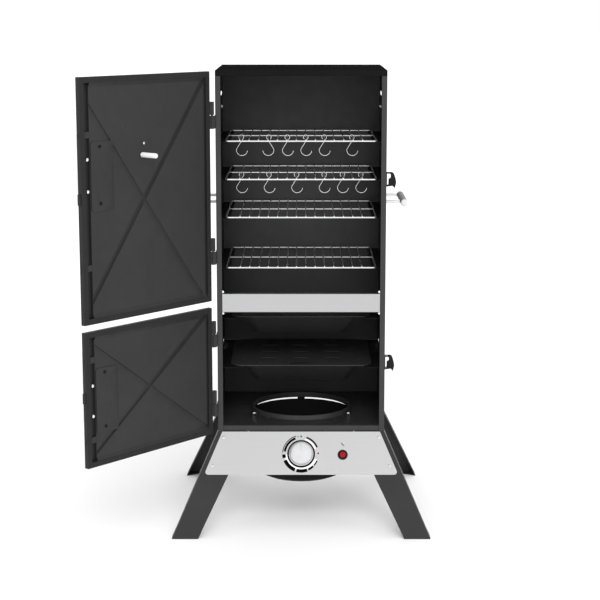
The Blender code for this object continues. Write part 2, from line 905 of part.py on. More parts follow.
def side_handle_posts(name, side):
    """Two posts on a strap that is fixed along the side wall."""
    wall = side * (HALF + GAP)
    strap_out = wall + side * 0.002
    end = side * (HANDLE_X - 0.0090 - GAP)
    strap = box(
        name,
        (min(wall, strap_out), POST_YS[0] - 0.010, HANDLE_Z - 0.007),
        (max(wall, strap_out), POST_YS[1] + 0.010, HANDLE_Z + 0.007),
    )
    posts = [
        cylinder(
            "post", 0.0045, (wall + side * 0.001, y, HANDLE_Z), (end, y, HANDLE_Z), 14
        )
        for y in POST_YS
    ]
    return ready(join(strap, *posts), "chrome", smooth=35)


def side_grip(name, side):
    """The round grip across the two posts, with a waist inside each end cap."""
    length = GRIP_SPAN[1] - GRIP_SPAN[0]
    profile = [
        (0.0, length),
        (0.0070, length),
        (0.0088, length - 0.003),
        (0.0088, length - 0.012),
        (0.0078, length - 0.014),
        (0.0090, length - 0.018),
        (0.0090, 0.018),
        (0.0078, 0.014),
        (0.0088, 0.012),
        (0.0088, 0.003),
        (0.0070, 0.0),
        (0.0, 0.0),
    ]
    grip = turned(name, profile, 14)
    grip.rotation_euler.x = -math.pi / 2
    grip.location = (side * HANDLE_X, GRIP_SPAN[0], HANDLE_Z)
    return ready(baked(grip), "grip", smooth=35)


def vent_damper(name, side):
    """A plate that slides up the outside of the wall to cover the vent, with a ribbed knob."""
    wall = side * (HALF + GAP)
    outer = wall + side * 0.0015
    plate = box(
        name,
        (min(wall, outer), VENT_Y - 0.050, DAMPER_Z - 0.011),
        (max(wall, outer), VENT_Y + 0.050, DAMPER_Z + 0.011),
    )
    ribs = [(0.0, 0.0150)]
    for i in range(3):
        base = 0.0140 - 0.0042 * i
        ribs += [(0.0040, base + 0.0008), (0.0056, base - 0.0010), (0.0040, base - 0.0028)]
    ribs += [(0.0040, 0.0), (0.0, 0.0)]
    knob = turned("damper_knob", ribs, 10)
    knob.rotation_euler.y = side * math.pi / 2
    knob.location = (wall + side * 0.0008, VENT_Y, DAMPER_Z)
    return ready(join(plate, baked(knob)), "chrome", smooth=35)


# ------------------------------------------------------------------ racks, hooks and pans


def bar_x(index):
    return (index - (BARS - 1) / 2) * BAR_PITCH


BAR_LIFT = FRAME_WIRE / 2 + CROSS_WIRE / 2 - 0.0008


def rack_mesh():
    """One welded wire rack: a rounded frame, a middle wire, and the wires laid across them."""
    half = FRAME_WIRE / 2
    outer = rounded_rectangle(
        -RACK_HALF - half, RACK_HALF + half, -half, RACK_BACK - RACK_FRONT + half, 0.010
    )
    inner = rounded_rectangle(
        -RACK_HALF + half, RACK_HALF - half, half, RACK_BACK - RACK_FRONT - half, 0.006
    )
    rack = outline_solid("rack", [outer, inner], FRAME_WIRE)
    middle = (RACK_BACK - RACK_FRONT) / 2
    thin = CROSS_WIRE / 2
    beam = box(
        "middle_wire", (-RACK_HALF, middle - thin, -thin), (RACK_HALF, middle + thin, half - 0.0002)
    )
    rack = join(rack, beam)
    for i in range(BARS):
        wire = box(
            "cross_wire",
            (bar_x(i) - thin, -half + 0.0004, BAR_LIFT - thin),
            (bar_x(i) + thin, RACK_BACK - RACK_FRONT + half - 0.0004, BAR_LIFT + thin),
        )
        rack = join(rack, wire)
    mesh = rack.data
    bpy.data.objects.remove(rack)
    return mesh


def hook_mesh():
    """One bent wire hook about the wire that it hangs from: a closed eye above a wide hook."""
    eye = arc((0.0, -0.0022), 0.0060, 235, -55, 7)
    bowl = arc((0.0015, -0.0345), 0.0140, 172, 352, 7)
    points = [(x, 0.0, z) for x, z in eye + bowl]
    hook = tube("hook", points, HOOK_WIRE, 1)
    mesh = hook.data
    bpy.data.objects.remove(hook)
    return mesh


def racks_and_hooks():
    rack_data = rack_mesh()
    hook_data = hook_mesh()
    for number, height in enumerate(RACK_HEIGHTS, 1):
        axis = empty(f"rack_{number}_slide", (0, RACK_FRONT, height), (0, 0, 0), ASSEMBLY)
        rack = bpy.data.objects.new(f"rack_{number}", rack_data)
        PARTS.objects.link(rack)
        ready(rack, "chrome", axis)
        if number > len(HOOK_BARS):
            continue
        for place, bar in enumerate(HOOK_BARS[number - 1], 1):
            hook = bpy.data.objects.new(f"hook_{number}_{place}", hook_data)
            PARTS.objects.link(hook)
            ready(hook, "chrome", axis, smooth=60)
            hook.location = (bar_x(bar), HOOK_Y - RACK_FRONT, BAR_LIFT)
            if (number - 1, bar) == HOOK_TURNED:
                hook.rotation_euler.z = math.pi


def tapered_pan(name, rim, floor, deep, radius, thickness):
    """A sloping pan under a flat rim: (half width, near, far) at the lip, wall top and floor."""
    levels = ((rim[0], 0.0), (rim[1], 0.0), (floor, -deep))
    rings = []
    for (half, near, far), drop in levels:
        outline = rounded_rectangle(-half, half, near, far, radius, 4)
        rings.append([(x, y, drop) for x, y in outline])
    pan = lofted(name, rings, (False, True))
    solidify = pan.modifiers.new("sheet", "SOLIDIFY")
    solidify.thickness = thickness
    solidify.offset = 0
    return baked(pan)


def water_pan():
    rim = PAN_RIM + 0.0008
    axis = empty("water_pan_slide", (0, 0, rim), (0, 0, 0), ASSEMBLY)
    pan = tapered_pan(
        "water_pan",
        ((0.1743, 0.030, 0.340), (0.1500, 0.050, 0.320)),
        (0.1200, 0.075, 0.295),
        0.048,
        0.022,
        0.0012,
    )
    return ready(pan, "black_enamel", axis, smooth=35)


TRAY_LEVEL = TRAY_RIM + 0.0008


def chip_tray():
    axis = empty("chip_tray_slide", (0, 0, TRAY_LEVEL), (0, 0, 0), ASSEMBLY)
    tray = tapered_pan(
        "chip_tray",
        ((0.1743, 0.030, 0.340), (0.1500, 0.050, 0.320)),
        (0.1200, 0.075, 0.295),
        0.047,
        0.022,
        0.0012,
    )
    return ready(tray, "black_enamel", axis, smooth=35)


def chip_tray_lid():
    """A flat slotted lid laid on the tray's rim, with a skirt turned down round its edge."""
    axis = empty("chip_tray_lid_lift", (0, 0, TRAY_LEVEL + 0.0010), (0, 0, 0), ASSEMBLY)
    half, near, far = 0.1790, 0.0260, 0.3440
    outline = rounded_rectangle(-half, half, near, far, 0.030, 4)
    slots = []
    for column in (-0.082, 0.0, 0.082):
        for y in (0.113, 0.190, 0.267):
            left, right = column - 0.0215, column + 0.0215
            slots.append(rounded_rectangle(left, right, y - 0.003, y + 0.003, 0.0022, 1))
    thick = 0.0015
    lid = outline_solid(
        "chip_tray_lid", [outline] + slots, thick, Matrix.Translation((0, 0, thick / 2 + 0.0002))
    )
    return ready(lid, "black_enamel", axis)


# ------------------------------------------------------------------ the whole object

cabinet_wrap()
roof_panel()
cabinet_floor()
center_rail()
for side_name, sign in (("left", -1), ("right", 1)):
    rack_rail("rack_rail_" + side_name, sign)
    leg("front_leg_" + side_name, sign, -1)
    leg("rear_leg_" + side_name, sign, 1)
    side_handle_posts("side_handle_posts_" + side_name, sign)
    side_grip("side_grip_" + side_name, sign)
    vent_damper("vent_damper_" + side_name, sign)
control_panel()
control_knob()
gas_valve()
gas_burner()
burner_bowl()
igniter_body()
igniter_button()
igniter_electrode()
for door in DOOR_SPANS:
    door_skin(door)
    door_liner(door)
    door_handle(door)
    latch_lever(door)
    for number, level in enumerate(HINGE_HEIGHTS[door], 1):
        cabinet_leaf(f"{door}_hinge_{number}_cabinet_leaf", level)
        door_leaf(f"{door}_hinge_{number}_door_leaf", door, level)
thermometer()
racks_and_hooks()
water_pan()
chip_tray()
chip_tray_lid()


def centre_on_footprint():
    """Slide the assembly so that the middle of its footprint stands on the world origin."""
    bpy.context.view_layer.update()
    graph = bpy.context.evaluated_depsgraph_get()
    places = []
    for obj in PARTS.objects:
        if obj.type == "MESH":
            evaluated = obj.evaluated_get(graph)
            places += [obj.matrix_world @ vertex.co for vertex in evaluated.data.vertices]
    for axis in (0, 1):
        values = [place[axis] for place in places]
        ASSEMBLY.location[axis] = -(min(values) + max(values)) / 2


centre_on_footprint()
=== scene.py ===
"""The visual model of a two-door gas cabinet smoker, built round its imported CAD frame.

Three sets of axes are used, all in metres. World is the frame's own. A closed door's pieces are
drawn where they would be with the door shut, and DOORS carries them to the open door. The control
panel's pieces are drawn on its own plane (x across, y up the plate, z out of it), and PANEL carries
them there.
"""

import json
import math

import bmesh
import bpy
from mathutils import Matrix, Quaternion, Vector


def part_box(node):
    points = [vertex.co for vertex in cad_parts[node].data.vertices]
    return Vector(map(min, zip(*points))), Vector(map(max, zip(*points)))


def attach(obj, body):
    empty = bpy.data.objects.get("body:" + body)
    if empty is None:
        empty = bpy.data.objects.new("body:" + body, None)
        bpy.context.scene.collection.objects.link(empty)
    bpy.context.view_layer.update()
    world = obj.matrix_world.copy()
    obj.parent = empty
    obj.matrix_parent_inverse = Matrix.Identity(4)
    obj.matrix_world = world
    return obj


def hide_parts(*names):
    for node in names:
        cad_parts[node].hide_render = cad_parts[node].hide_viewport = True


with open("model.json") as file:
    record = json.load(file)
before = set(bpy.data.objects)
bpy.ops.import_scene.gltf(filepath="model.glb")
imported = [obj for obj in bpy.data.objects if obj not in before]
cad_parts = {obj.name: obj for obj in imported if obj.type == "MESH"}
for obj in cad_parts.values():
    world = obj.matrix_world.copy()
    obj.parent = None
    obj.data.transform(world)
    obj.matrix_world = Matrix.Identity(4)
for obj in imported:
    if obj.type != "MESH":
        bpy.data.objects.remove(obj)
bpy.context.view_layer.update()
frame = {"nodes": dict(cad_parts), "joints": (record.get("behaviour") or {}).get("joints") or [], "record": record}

SCENE = bpy.context.scene
NODES = frame["nodes"]
JOINTS = {joint["name"]: joint for joint in frame["joints"]}
SLOTS = {part["node"]: part["material_slot"] for part in frame["record"]["subparts"]}
BODIES = frame["record"]["behaviour"]["bodies"]
BODY_OF = {node: body for body, nodes in BODIES.items() for node in nodes}
UP = Vector((0, 0, 1))


# ------------------------------------------------------------------ places, read from the frame

WRAP_LOW, WRAP_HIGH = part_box("cabinet_wrap")
MIDDLE_X = (WRAP_LOW.x + WRAP_HIGH.x) / 2
FRONT_Y = WRAP_LOW.y
SHEET = 0.0015
LIFT = 0.0003


def door_matrix(which):
    """From a door's place when shut to its place as it stands open."""
    hinge = JOINTS[which + "_door_hinge"]
    pin = Vector(hinge["pos_m"])
    opened = -math.radians(hinge["range_deg"][1])
    turn = Matrix.Rotation(opened, 4, "Z")
    return Matrix.Translation(pin) @ turn @ Matrix.Translation(-pin)


def local_box(node, matrix):
    """A node's lowest and highest corners in the axes that matrix carries to the world."""
    back = matrix.inverted()
    points = [back @ vertex.co for vertex in NODES[node].data.vertices]
    low = Vector(min(p[i] for p in points) for i in range(3))
    high = Vector(max(p[i] for p in points) for i in range(3))
    return low, high


DOORS = {which: door_matrix(which) for which in ("upper", "lower")}
OUTWARD = Vector(JOINTS["control_knob_turn"]["axis"])
PANEL = Matrix.Translation((MIDDLE_X, FRONT_Y, WRAP_LOW.z)) @ (
    UP.rotation_difference(OUTWARD).to_matrix().to_4x4()
)
PANEL_LOW, PANEL_HIGH = local_box("control_panel", PANEL)
KNOB_LOW, KNOB_HIGH = local_box("control_knob", PANEL)
BUTTON_LOW, BUTTON_HIGH = local_box("igniter_button", PANEL)
FACE = PANEL_HIGH.z


# ------------------------------------------------------------------ materials


class Shader:
    """A Principled material with short calls for the nodes that feed it."""

    def __init__(self, name):
        self.material = bpy.data.materials.new(name)
        self.material.use_nodes = True
        self.tree = self.material.node_tree
        self.principled = self.tree.nodes["Principled BSDF"]
        self.place = self.tree.nodes.new("ShaderNodeTexCoord").outputs["Object"]

    def noise(self, scale, stretch=(1, 1, 1), detail=3.0, roughness=0.5):
        mapping = self.tree.nodes.new("ShaderNodeMapping")
        mapping.inputs["Scale"].default_value = stretch
        self.tree.links.new(self.place, mapping.inputs["Vector"])
        noise = self.tree.nodes.new("ShaderNodeTexNoise")
        noise.inputs["Scale"].default_value = scale
        noise.inputs["Detail"].default_value = detail
        noise.inputs["Roughness"].default_value = roughness
        self.tree.links.new(mapping.outputs["Vector"], noise.inputs["Vector"])
        return noise.outputs["Fac"]

    def spread(self, value, low, high, start=0.3, end=0.7):
        """A noise value mapped from its usual start to end onto low to high."""
        node = self.tree.nodes.new("ShaderNodeMapRange")
        node.inputs["From Min"].default_value = start
        node.inputs["From Max"].default_value = end
        node.inputs["To Min"].default_value = low
        node.inputs["To Max"].default_value = high
        self.tree.links.new(value, node.inputs["Value"])
        return node.outputs["Result"]

    def mixed(self, amount, first, second):
        """A colour between two others."""
        node = self.tree.nodes.new("ShaderNodeMix")
        node.data_type = "RGBA"
        self.tree.links.new(amount, node.inputs["Factor"])
        for socket, colour in ((node.inputs[6], first), (node.inputs[7], second)):
            if isinstance(colour, bpy.types.NodeSocket):
                self.tree.links.new(colour, socket)
            else:
                socket.default_value = (*colour, 1)
        return node.outputs[2]

    def bump(self, height, distance, normal=None):
        node = self.tree.nodes.new("ShaderNodeBump")
        node.inputs["Distance"].default_value = distance
        self.tree.links.new(height, node.inputs["Height"])
        if normal:
            self.tree.links.new(normal, node.inputs["Normal"])
        return node.outputs["Normal"]

    def set(self, **inputs):
        for name, value in inputs.items():
            socket = self.principled.inputs[name.replace("_", " ")]
            if isinstance(value, bpy.types.NodeSocket):
                self.tree.links.new(value, socket)
            else:
                socket.default_value = value
        return self.material


def tones(colour, share):
    """A colour a little darker and a little lighter."""
    return [c * (1 - share) for c in colour], [min(1.0, c * (1 + share)) for c in colour]


def coated(name, colour, roughness, texture=900, depth=0.00006, patch=0.10, gloss=0.5):
    """Baked enamel or powder coat: cloudy tone, fine orange peel, and uneven gloss."""
    shader = Shader(name)
    cloud = shader.noise(9.0, detail=5.0, roughness=0.6)
    peel = shader.noise(texture, detail=2.0)
    dark, light = tones(colour, patch)
    shader.set(
        Base_Color=shader.mixed(shader.spread(cloud, 0, 1), dark, light),
        Roughness=shader.spread(shader.noise(40.0, detail=4.0), roughness - 0.05, roughness + 0.06),
        Normal=shader.bump(peel, depth),
        Specular_IOR_Level=gloss,
    )
    return shader.material


def brushed(name, colour, roughness, stretch, contrast=0.05):
    """Brushed steel: long fine lines along one axis, in tone, gloss and relief."""
    shader = Shader(name)
    lines = shader.noise(1.0, stretch, detail=4.0, roughness=0.65)
    cloud = shader.noise(6.0, detail=3.0)
    dark, light = tones(colour, contrast)
    tone = shader.mixed(shader.spread(lines, 0, 1), dark, light)
    veil = shader.mixed(shader.spread(cloud, 0, 0.35), tone, light)
    shader.set(
        Base_Color=veil,
        Metallic=1.0,
        Roughness=shader.spread(lines, roughness - 0.05, roughness + 0.08),
        Normal=shader.bump(lines, 0.00002),
    )
    return shader.material


def plated(name, colour, roughness, metallic=1.0, depth=0.00001):
    """Plating, with a faint ripple and a little haze."""
    shader = Shader(name)
    haze = shader.noise(60.0, detail=4.0)
    dark, light = tones(colour, 0.04)
    shader.set(
        Base_Color=shader.mixed(shader.spread(haze, 0, 1), dark, light),
        Metallic=metallic,
        Roughness=shader.spread(haze, roughness, roughness + 0.06),
        Normal=shader.bump(shader.noise(250.0, detail=1.0), depth),
    )
    return shader.material


def cast(name, colour, roughness):
    """Sand-cast iron: coarse grain, and a brown tinge in patches."""
    shader = Shader(name)
    grain = shader.noise(700.0, detail=5.0, roughness=0.7)
    patch = shader.noise(30.0, detail=5.0, roughness=0.7)
    warm = (colour[0] * 1.6, colour[1] * 1.2, colour[2])
    shader.set(
        Base_Color=shader.mixed(shader.spread(patch, 0, 0.6), colour, warm),
        Metallic=0.35,
        Roughness=shader.spread(grain, roughness - 0.1, roughness + 0.1),
        Normal=shader.bump(grain, 0.0004),
    )
    return shader.material


def moulded(name, colour, roughness, texture=1400, depth=0.00003, coat=0.0, gloss=0.5):
    """Moulded plastic with a fine leathered surface."""
    shader = Shader(name)
    grain = shader.noise(texture, detail=2.0)
    cloud = shader.noise(25.0, detail=3.0)
    dark, light = tones(colour, 0.08)
    shader.set(
        Base_Color=shader.mixed(shader.spread(cloud, 0, 1), dark, light),
        Roughness=shader.spread(grain, roughness - 0.04, roughness + 0.06),
        Normal=shader.bump(grain, depth),
        Coat_Weight=coat,
        Coat_Roughness=0.08,
        Specular_IOR_Level=gloss,
    )
    return shader.material


ALONG_X = (6.0, 1500.0, 1500.0)
ALONG_Z = (1500.0, 1500.0, 8.0)
MATERIALS = {
    "black_enamel": coated("black_enamel", (0.027, 0.027, 0.0275), 0.46, gloss=0.35),
    "dark_roof": coated("dark_roof", (0.0090, 0.0090, 0.0094), 0.60, gloss=0.0),
    "black_steel": coated("black_steel", (0.026, 0.026, 0.0263), 0.50, 1100, 0.00007, gloss=0.2),
    "stainless": brushed("stainless", (0.52, 0.52, 0.526), 0.34, ALONG_X),
    "chrome": plated("chrome", (0.88, 0.88, 0.89), 0.22),
    "cast_iron": cast("cast_iron", (0.022, 0.021, 0.020), 0.72),
    "brass": plated("brass", (0.70, 0.50, 0.22), 0.24, depth=0.00003),
    "grip": moulded("grip", (0.19, 0.19, 0.192), 0.50),
    "knob": plated("knob", (0.62, 0.62, 0.63), 0.30, metallic=0.55),
    "red_plastic": moulded("red_plastic", (0.27, 0.002, 0.004), 0.32, gloss=0.25),
    "black_plastic": moulded("black_plastic", (0.008, 0.008, 0.0085), 0.50, gloss=0.15),
    "ceramic": moulded("ceramic", (0.78, 0.77, 0.72), 0.35, depth=0.00001, coat=0.3),
}
PANEL_STEEL = brushed("panel_steel", (0.68, 0.68, 0.686), 0.42, ALONG_X, 0.04)
RACK_CHROME = plated("rack_chrome", (0.93, 0.93, 0.94), 0.34)
ZINC = moulded("zinc", (0.80, 0.80, 0.80), 0.40, depth=0.00001)
DOOR_BLACK = coated("door_black", (0.020, 0.020, 0.0203), 0.48, gloss=0.3)
LIP_BLACK = coated("lip_black", (0.014, 0.014, 0.0143), 0.50, gloss=0.2)
LEDGE_BLACK = coated("ledge_black", (0.008, 0.008, 0.0082), 0.60, gloss=0.1)
HANDLE_STEEL = brushed("handle_steel", (0.80, 0.80, 0.81), 0.24, ALONG_Z, 0.03)
END_CAP = moulded("end_cap", (0.55, 0.55, 0.56), 0.35)
# black for printed marks, and also for the painted shadow disc under the control knob
PRINT_AND_SHADOW = moulded("black_print_and_shadow", (0.002, 0.002, 0.002), 0.80, depth=0.00001, gloss=0.05)
PALE_PRINT = moulded("pale_print", (0.75, 0.42, 0.40), 0.50, depth=0.00001)
DIAL_WHITE = moulded("dial_white", (0.78, 0.78, 0.76), 0.45, depth=0.00001)
# near-black for holes: painted shade standing for the dark insides of burner ports and screw holes
HOLE_SHADE = coated("painted_hole_shade", (0.006, 0.006, 0.006), 0.80)


FINISHES = {
    "control_panel": PANEL_STEEL,
    "rack_rail_left": LEDGE_BLACK,
    "rack_rail_right": LEDGE_BLACK,
    "side_handle_posts_left": RACK_CHROME,
    "side_handle_posts_right": RACK_CHROME,
}


def glass_material():
    shader = Shader("gauge_glass")
    smear = shader.noise(45.0, detail=3.0)
    shader.set(
        Base_Color=(0.95, 0.97, 0.98, 1),
        Roughness=shader.spread(smear, 0.01, 0.05),
        Transmission_Weight=1.0,
        IOR=1.45,
    )
    return shader.material


# ------------------------------------------------------------------ making pieces


def linked(name, data):
    obj = bpy.data.objects.new(name, data)
    SCENE.collection.objects.link(obj)
    return obj


def from_bmesh(name, bm, matrix=None):
    if matrix:
        bm.transform(matrix)
    mesh = bpy.data.meshes.new(name)
    bm.to_mesh(mesh)
    bm.free()
    return linked(name, mesh)


def piece(obj, body, slot, material=None, smooth=35, replaces=()):
    """Give a finished piece its shading, material and body; slot only picks the material when none is given."""
    obj.data.materials.clear()
    obj.data.materials.append(material or MATERIALS[slot])
    if smooth and obj.type == "MESH":
        obj.data.shade_smooth()
        obj.data.set_sharp_from_angle(angle=math.radians(smooth))
    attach(obj, body)
    if replaces:
        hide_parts(*replaces)
    return obj


def joined(name, parts):
    """Several mesh objects as one."""
    bpy.context.view_layer.update()
    graph = bpy.context.evaluated_depsgraph_get()
    bm = bmesh.new()
    for part in parts:
        mesh = bpy.data.meshes.new_from_object(part.evaluated_get(graph))
        mesh.transform(part.matrix_world)
        bm.from_mesh(mesh)
        bpy.data.meshes.remove(mesh)
    for part in parts:
        bpy.data.objects.remove(part)
    return from_bmesh(name, bm)


def bevelled(obj, width, segments=2, angle=30):
    bevel = obj.modifiers.new("edges", "BEVEL")
    bevel.width = width
    bevel.segments = segments
    bevel.limit_method = "ANGLE"
    bevel.angle_limit = math.radians(angle)
    bevel.use_clamp_overlap = True
    bevel.harden_normals = False
    return obj


def softened(node, width, material=None, angle=30):
    """A CAD node's own shape with its edges rounded, standing for it."""
    bm = bmesh.new()
    bm.from_mesh(NODES[node].data)
    bmesh.ops.remove_doubles(bm, verts=bm.verts, dist=1e-6)
    bmesh.ops.dissolve_limit(
        bm, angle_limit=math.radians(0.5), verts=bm.verts, edges=bm.edges, delimit={"NORMAL"}
    )
    obj = from_bmesh(node + "_fine", bm)
    piece(obj, BODY_OF[node], SLOTS[node], material, smooth=angle, replaces=[node])
    if width:
        bevelled(obj, width, angle=angle)
        obj.data.shade_smooth()
    weighted = obj.modifiers.new("normals", "WEIGHTED_NORMAL")
    weighted.keep_sharp = not width
    return obj


def block(low, high, width=0.0004, matrix=None):
    """A box with rounded edges."""
    low, high = Vector(low), Vector(high)
    bm = bmesh.new()
    bmesh.ops.create_cube(bm, size=1.0)
    bmesh.ops.scale(bm, vec=high - low, verts=bm.verts)
    bmesh.ops.translate(bm, vec=(low + high) / 2, verts=bm.verts)
    bmesh.ops.bevel(
        bm, geom=bm.edges[:], offset=width, segments=2, profile=0.5, affect="EDGES"
    )
    return from_bmesh("block", bm, matrix)


def lathe(name, profile, segments=64, matrix=None):
    """A solid of revolution about Z from (radius, height) points, run down its outside."""
    bm = bmesh.new()
    verts = [bm.verts.new((radius, 0, height)) for radius, height in profile]
    edges = [bm.edges.new(pair) for pair in zip(verts, verts[1:])]
    bmesh.ops.spin(
        bm,
        geom=verts + edges,
        cent=(0, 0, 0),
        axis=(0, 0, 1),
        angle=math.tau,
        steps=segments,
        use_merge=True,
    )
    bmesh.ops.remove_doubles(bm, verts=bm.verts, dist=1e-6)
    bmesh.ops.recalc_face_normals(bm, faces=bm.faces)
    return from_bmesh(name, bm, matrix)


def flat_plate(name, outlines, thickness, bevel=0.0003, matrix=None):
    """A flat plate with rounded edges. It stands on its own XY plane."""
    curve = bpy.data.curves.new(name, "CURVE")
    curve.dimensions = "2D"
    curve.fill_mode = "BOTH"
    curve.extrude = thickness / 2 - bevel
    curve.bevel_depth = bevel
    curve.bevel_resolution = 1
    curve.offset = -bevel
    for outline in outlines:
        spline = curve.splines.new("POLY")
        spline.points.add(len(outline) - 1)
        spline.use_cyclic_u = True
        for point, (x, y) in zip(spline.points, outline):
            point.co = (x, y, 0, 1)
    obj = linked(name, curve)
    bpy.context.view_layer.update()
    graph = bpy.context.evaluated_depsgraph_get()
    mesh = bpy.data.meshes.new_from_object(obj.evaluated_get(graph))
    bpy.data.objects.remove(obj)
    bm = bmesh.new()
    bm.from_mesh(mesh)
    bpy.data.meshes.remove(mesh)
    bmesh.ops.remove_doubles(bm, verts=bm.verts, dist=1e-6)
    place = Matrix.Translation((0, 0, thickness / 2))
    return from_bmesh(name, bm, matrix @ place if matrix else place)


def wires(name, runs, resolution=4):
    """Round wires as one curve. A run is (points, radius, closed)."""
    curve = bpy.data.curves.new(name, "CURVE")
    curve.dimensions = "3D"
    curve.bevel_depth = 1.0
    curve.bevel_resolution = resolution
    curve.use_fill_caps = True
    for points, radius, closed in runs:
        spline = curve.splines.new("POLY")
        spline.points.add(len(points) - 1)
        spline.use_cyclic_u = closed
        spline.use_smooth = True
        for point, place in zip(spline.points, points):
            point.co = (*place, 1)
            point.radius = radius
    return linked(name, curve)


def arc(centre, radius, start, end, steps):
    angles = [math.radians(start + (end - start) * i / steps) for i in range(steps + 1)]
    return [
        (centre[0] + radius * math.cos(a), centre[1] + radius * math.sin(a)) for a in angles
    ]


def rounded_rectangle(left, right, near, far, radius, steps=8):
    return (
        arc((right - radius, near + radius), radius, -90, 0, steps)
        + arc((right - radius, far - radius), radius, 0, 90, steps)
        + arc((left + radius, far - radius), radius, 90, 180, steps)
        + arc((left + radius, near + radius), radius, 180, 270, steps)
    )


def rounded_path(corners, radius, steps=8):
    corners = [Vector(corner) for corner in corners]
    path = [corners[0]]
    for before, corner, after in zip(corners, corners[1:], corners[2:]):
        back = (before - corner).normalized()
        ahead = (after - corner).normalized()
        half_angle = back.angle(ahead) / 2
        reach = radius / math.tan(half_angle)
        centre = corner + (back + ahead).normalized() * radius / math.sin(half_angle)
        start = corner + back * reach - centre
        end = corner + ahead * reach - centre
        sweep = start.rotation_difference(end)
        turns = [Quaternion().slerp(sweep, i / steps) for i in range(steps + 1)]
        path += [centre + turn @ start for turn in turns]
    return path + [corners[-1]]


def facing(place, direction):
    """A matrix that stands +Z along direction at a place."""
    turn = UP.rotation_difference(Vector(direction)).to_matrix().to_4x4()
    return Matrix.Translation(place) @ turn


def pan_screw(radius, height, matrix, slot_angle=None):
    """A domed screw or rivet head, with a slot across it if slot_angle is given."""
    rise = [
        (radius * math.sin(math.radians(a)), height * math.cos(math.radians(a)))
        for a in (0, 18, 36, 54, 72, 84)
    ]
    head = lathe("head", rise + [(radius, 0.0), (radius, -LIFT), (0.0, -LIFT)], 28)
    if slot_angle is None:
        head.data.transform(matrix)
        return head
    turn = Matrix.Rotation(math.radians(slot_angle), 4, "Z")
    half, wide = radius * 0.8, radius * 0.13
    tool = block((-half, -wide, height * 0.45), (half, wide, height * 2), 0.00005, turn)
    cut = head.modifiers.new("slot", "BOOLEAN")
    cut.operation = "DIFFERENCE"
    cut.object = tool
    bpy.context.view_layer.update()
    graph = bpy.context.evaluated_depsgraph_get()
    mesh = bpy.data.meshes.new_from_object(head.evaluated_get(graph))
    bpy.data.objects.remove(head)
    bpy.data.objects.remove(tool)
    mesh.transform(matrix)
    return linked("head", mesh)


# ------------------------------------------------------------------ cabinet


def cabinet():
    """Sheet metal that keeps its CAD shape, with its folds and cut edges rounded."""
    for node, width in (
        ("cabinet_wrap", 0.0005),
        ("roof_panel", 0.0009),
        ("center_rail", 0.0004),
        ("rack_rail_left", 0.0003),
        ("rack_rail_right", 0.0003),
        ("front_leg_left", 0.0006),
        ("front_leg_right", 0.0006),
        ("rear_leg_left", 0.0006),
        ("rear_leg_right", 0.0006),
        ("control_panel", 0.0003),
        ("gas_valve", 0.0004),
        ("igniter_electrode", 0.0),
        ("water_pan", 0.0),
        ("chip_tray", 0.0),
        ("chip_tray_lid", 0.0003),
        ("side_handle_posts_left", 0.0004),
        ("side_handle_posts_right", 0.0004),
    ):
        softened(node, width, FINISHES.get(node))


def floor():
    """The floor tray round its burner hole, and the collar pressed up round the hole."""
    low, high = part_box("cabinet_floor")
    bowl_low, bowl_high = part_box("burner_bowl")
    centre = Vector(((low.x + high.x) / 2, (bowl_low.y + bowl_high.y) / 2, 0))
    collar_height = 0.0115
    top = high.z - collar_height
    outer, inner = 0.1315, 0.1245
    rim = arc((centre.x, centre.y), outer - SHEET / 2, 0, 360 * 95 / 96, 95)
    sheet_place = Matrix.Translation((0, 0, top - SHEET))
    corners = rounded_rectangle(low.x, high.x, low.y, high.y, 0.001, 2)
    sheet = flat_plate("sheet", [corners, rim], SHEET, 0.0002, sheet_place)
    folds = [
        block((low.x, low.y, low.z), (high.x, low.y + SHEET, top - 0.0004)),
        block((low.x, high.y - SHEET, low.z), (high.x, high.y, top - 0.0004)),
        block((low.x, low.y, low.z), (low.x + SHEET, high.y, top - 0.0004)),
        block((high.x - SHEET, low.y, low.z), (high.x, high.y, top - 0.0004)),
    ]
    crown = [
        (inner + SHEET, top - 0.0025),
        (inner + SHEET, high.z - SHEET - 0.001),
        (inner + SHEET + 0.0006, high.z - SHEET),
        (outer - 0.0036, high.z - SHEET),
        (outer - 0.0030, high.z - SHEET - 0.001),
        (outer - SHEET, top - SHEET),
        (outer, top - SHEET),
        (outer, top + 0.0006),
        (outer - 0.0006, top + 0.0025),
        (outer - 0.0014, high.z - 0.0030),
        (outer - 0.0022, high.z - 0.0009),
        (outer - 0.0036, high.z),
        (inner + 0.0014, high.z),
        (inner + 0.0004, high.z - 0.0006),
        (inner, high.z - 0.0020),
        (inner, top - 0.0025),
        (inner + SHEET, top - 0.0025),
    ]
    collar = lathe("collar", crown[::-1], 96, Matrix.Translation(centre))
    made = joined("cabinet_floor_fine", [sheet, collar] + folds)
    piece(made, "cabinet", "black_enamel", replaces=["cabinet_floor"])
    studs = []
    for side in (-1, 1):
        foot = Vector((centre.x + side * 0.1225, FRONT_Y + 0.105, top))
        profile = [
            (0.0, 0.0108),
            (0.0040, 0.0104),
            (0.0064, 0.0088),
            (0.0070, 0.0066),
            (0.0068, 0.0040),
            (0.0056, 0.0022),
            (0.0052, LIFT),
            (0.0, LIFT),
        ]
        studs.append(lathe("stud", profile, 32, Matrix.Translation(foot)))
    piece(joined("floor_studs", studs), "cabinet", "chrome")
    rivets = []
    for angle in (-128, -112, -68, -52, 50, 90, 130):
        a = math.radians(angle)
        out = Vector((math.cos(a), math.sin(a), 0))
        spot = centre + out * (outer + 0.0090) + UP * (top + LIFT)
        rivets.append(pan_screw(0.0032, 0.0014, Matrix.Translation(spot)))
    piece(joined("collar_rivets", rivets), "cabinet", "black_steel")


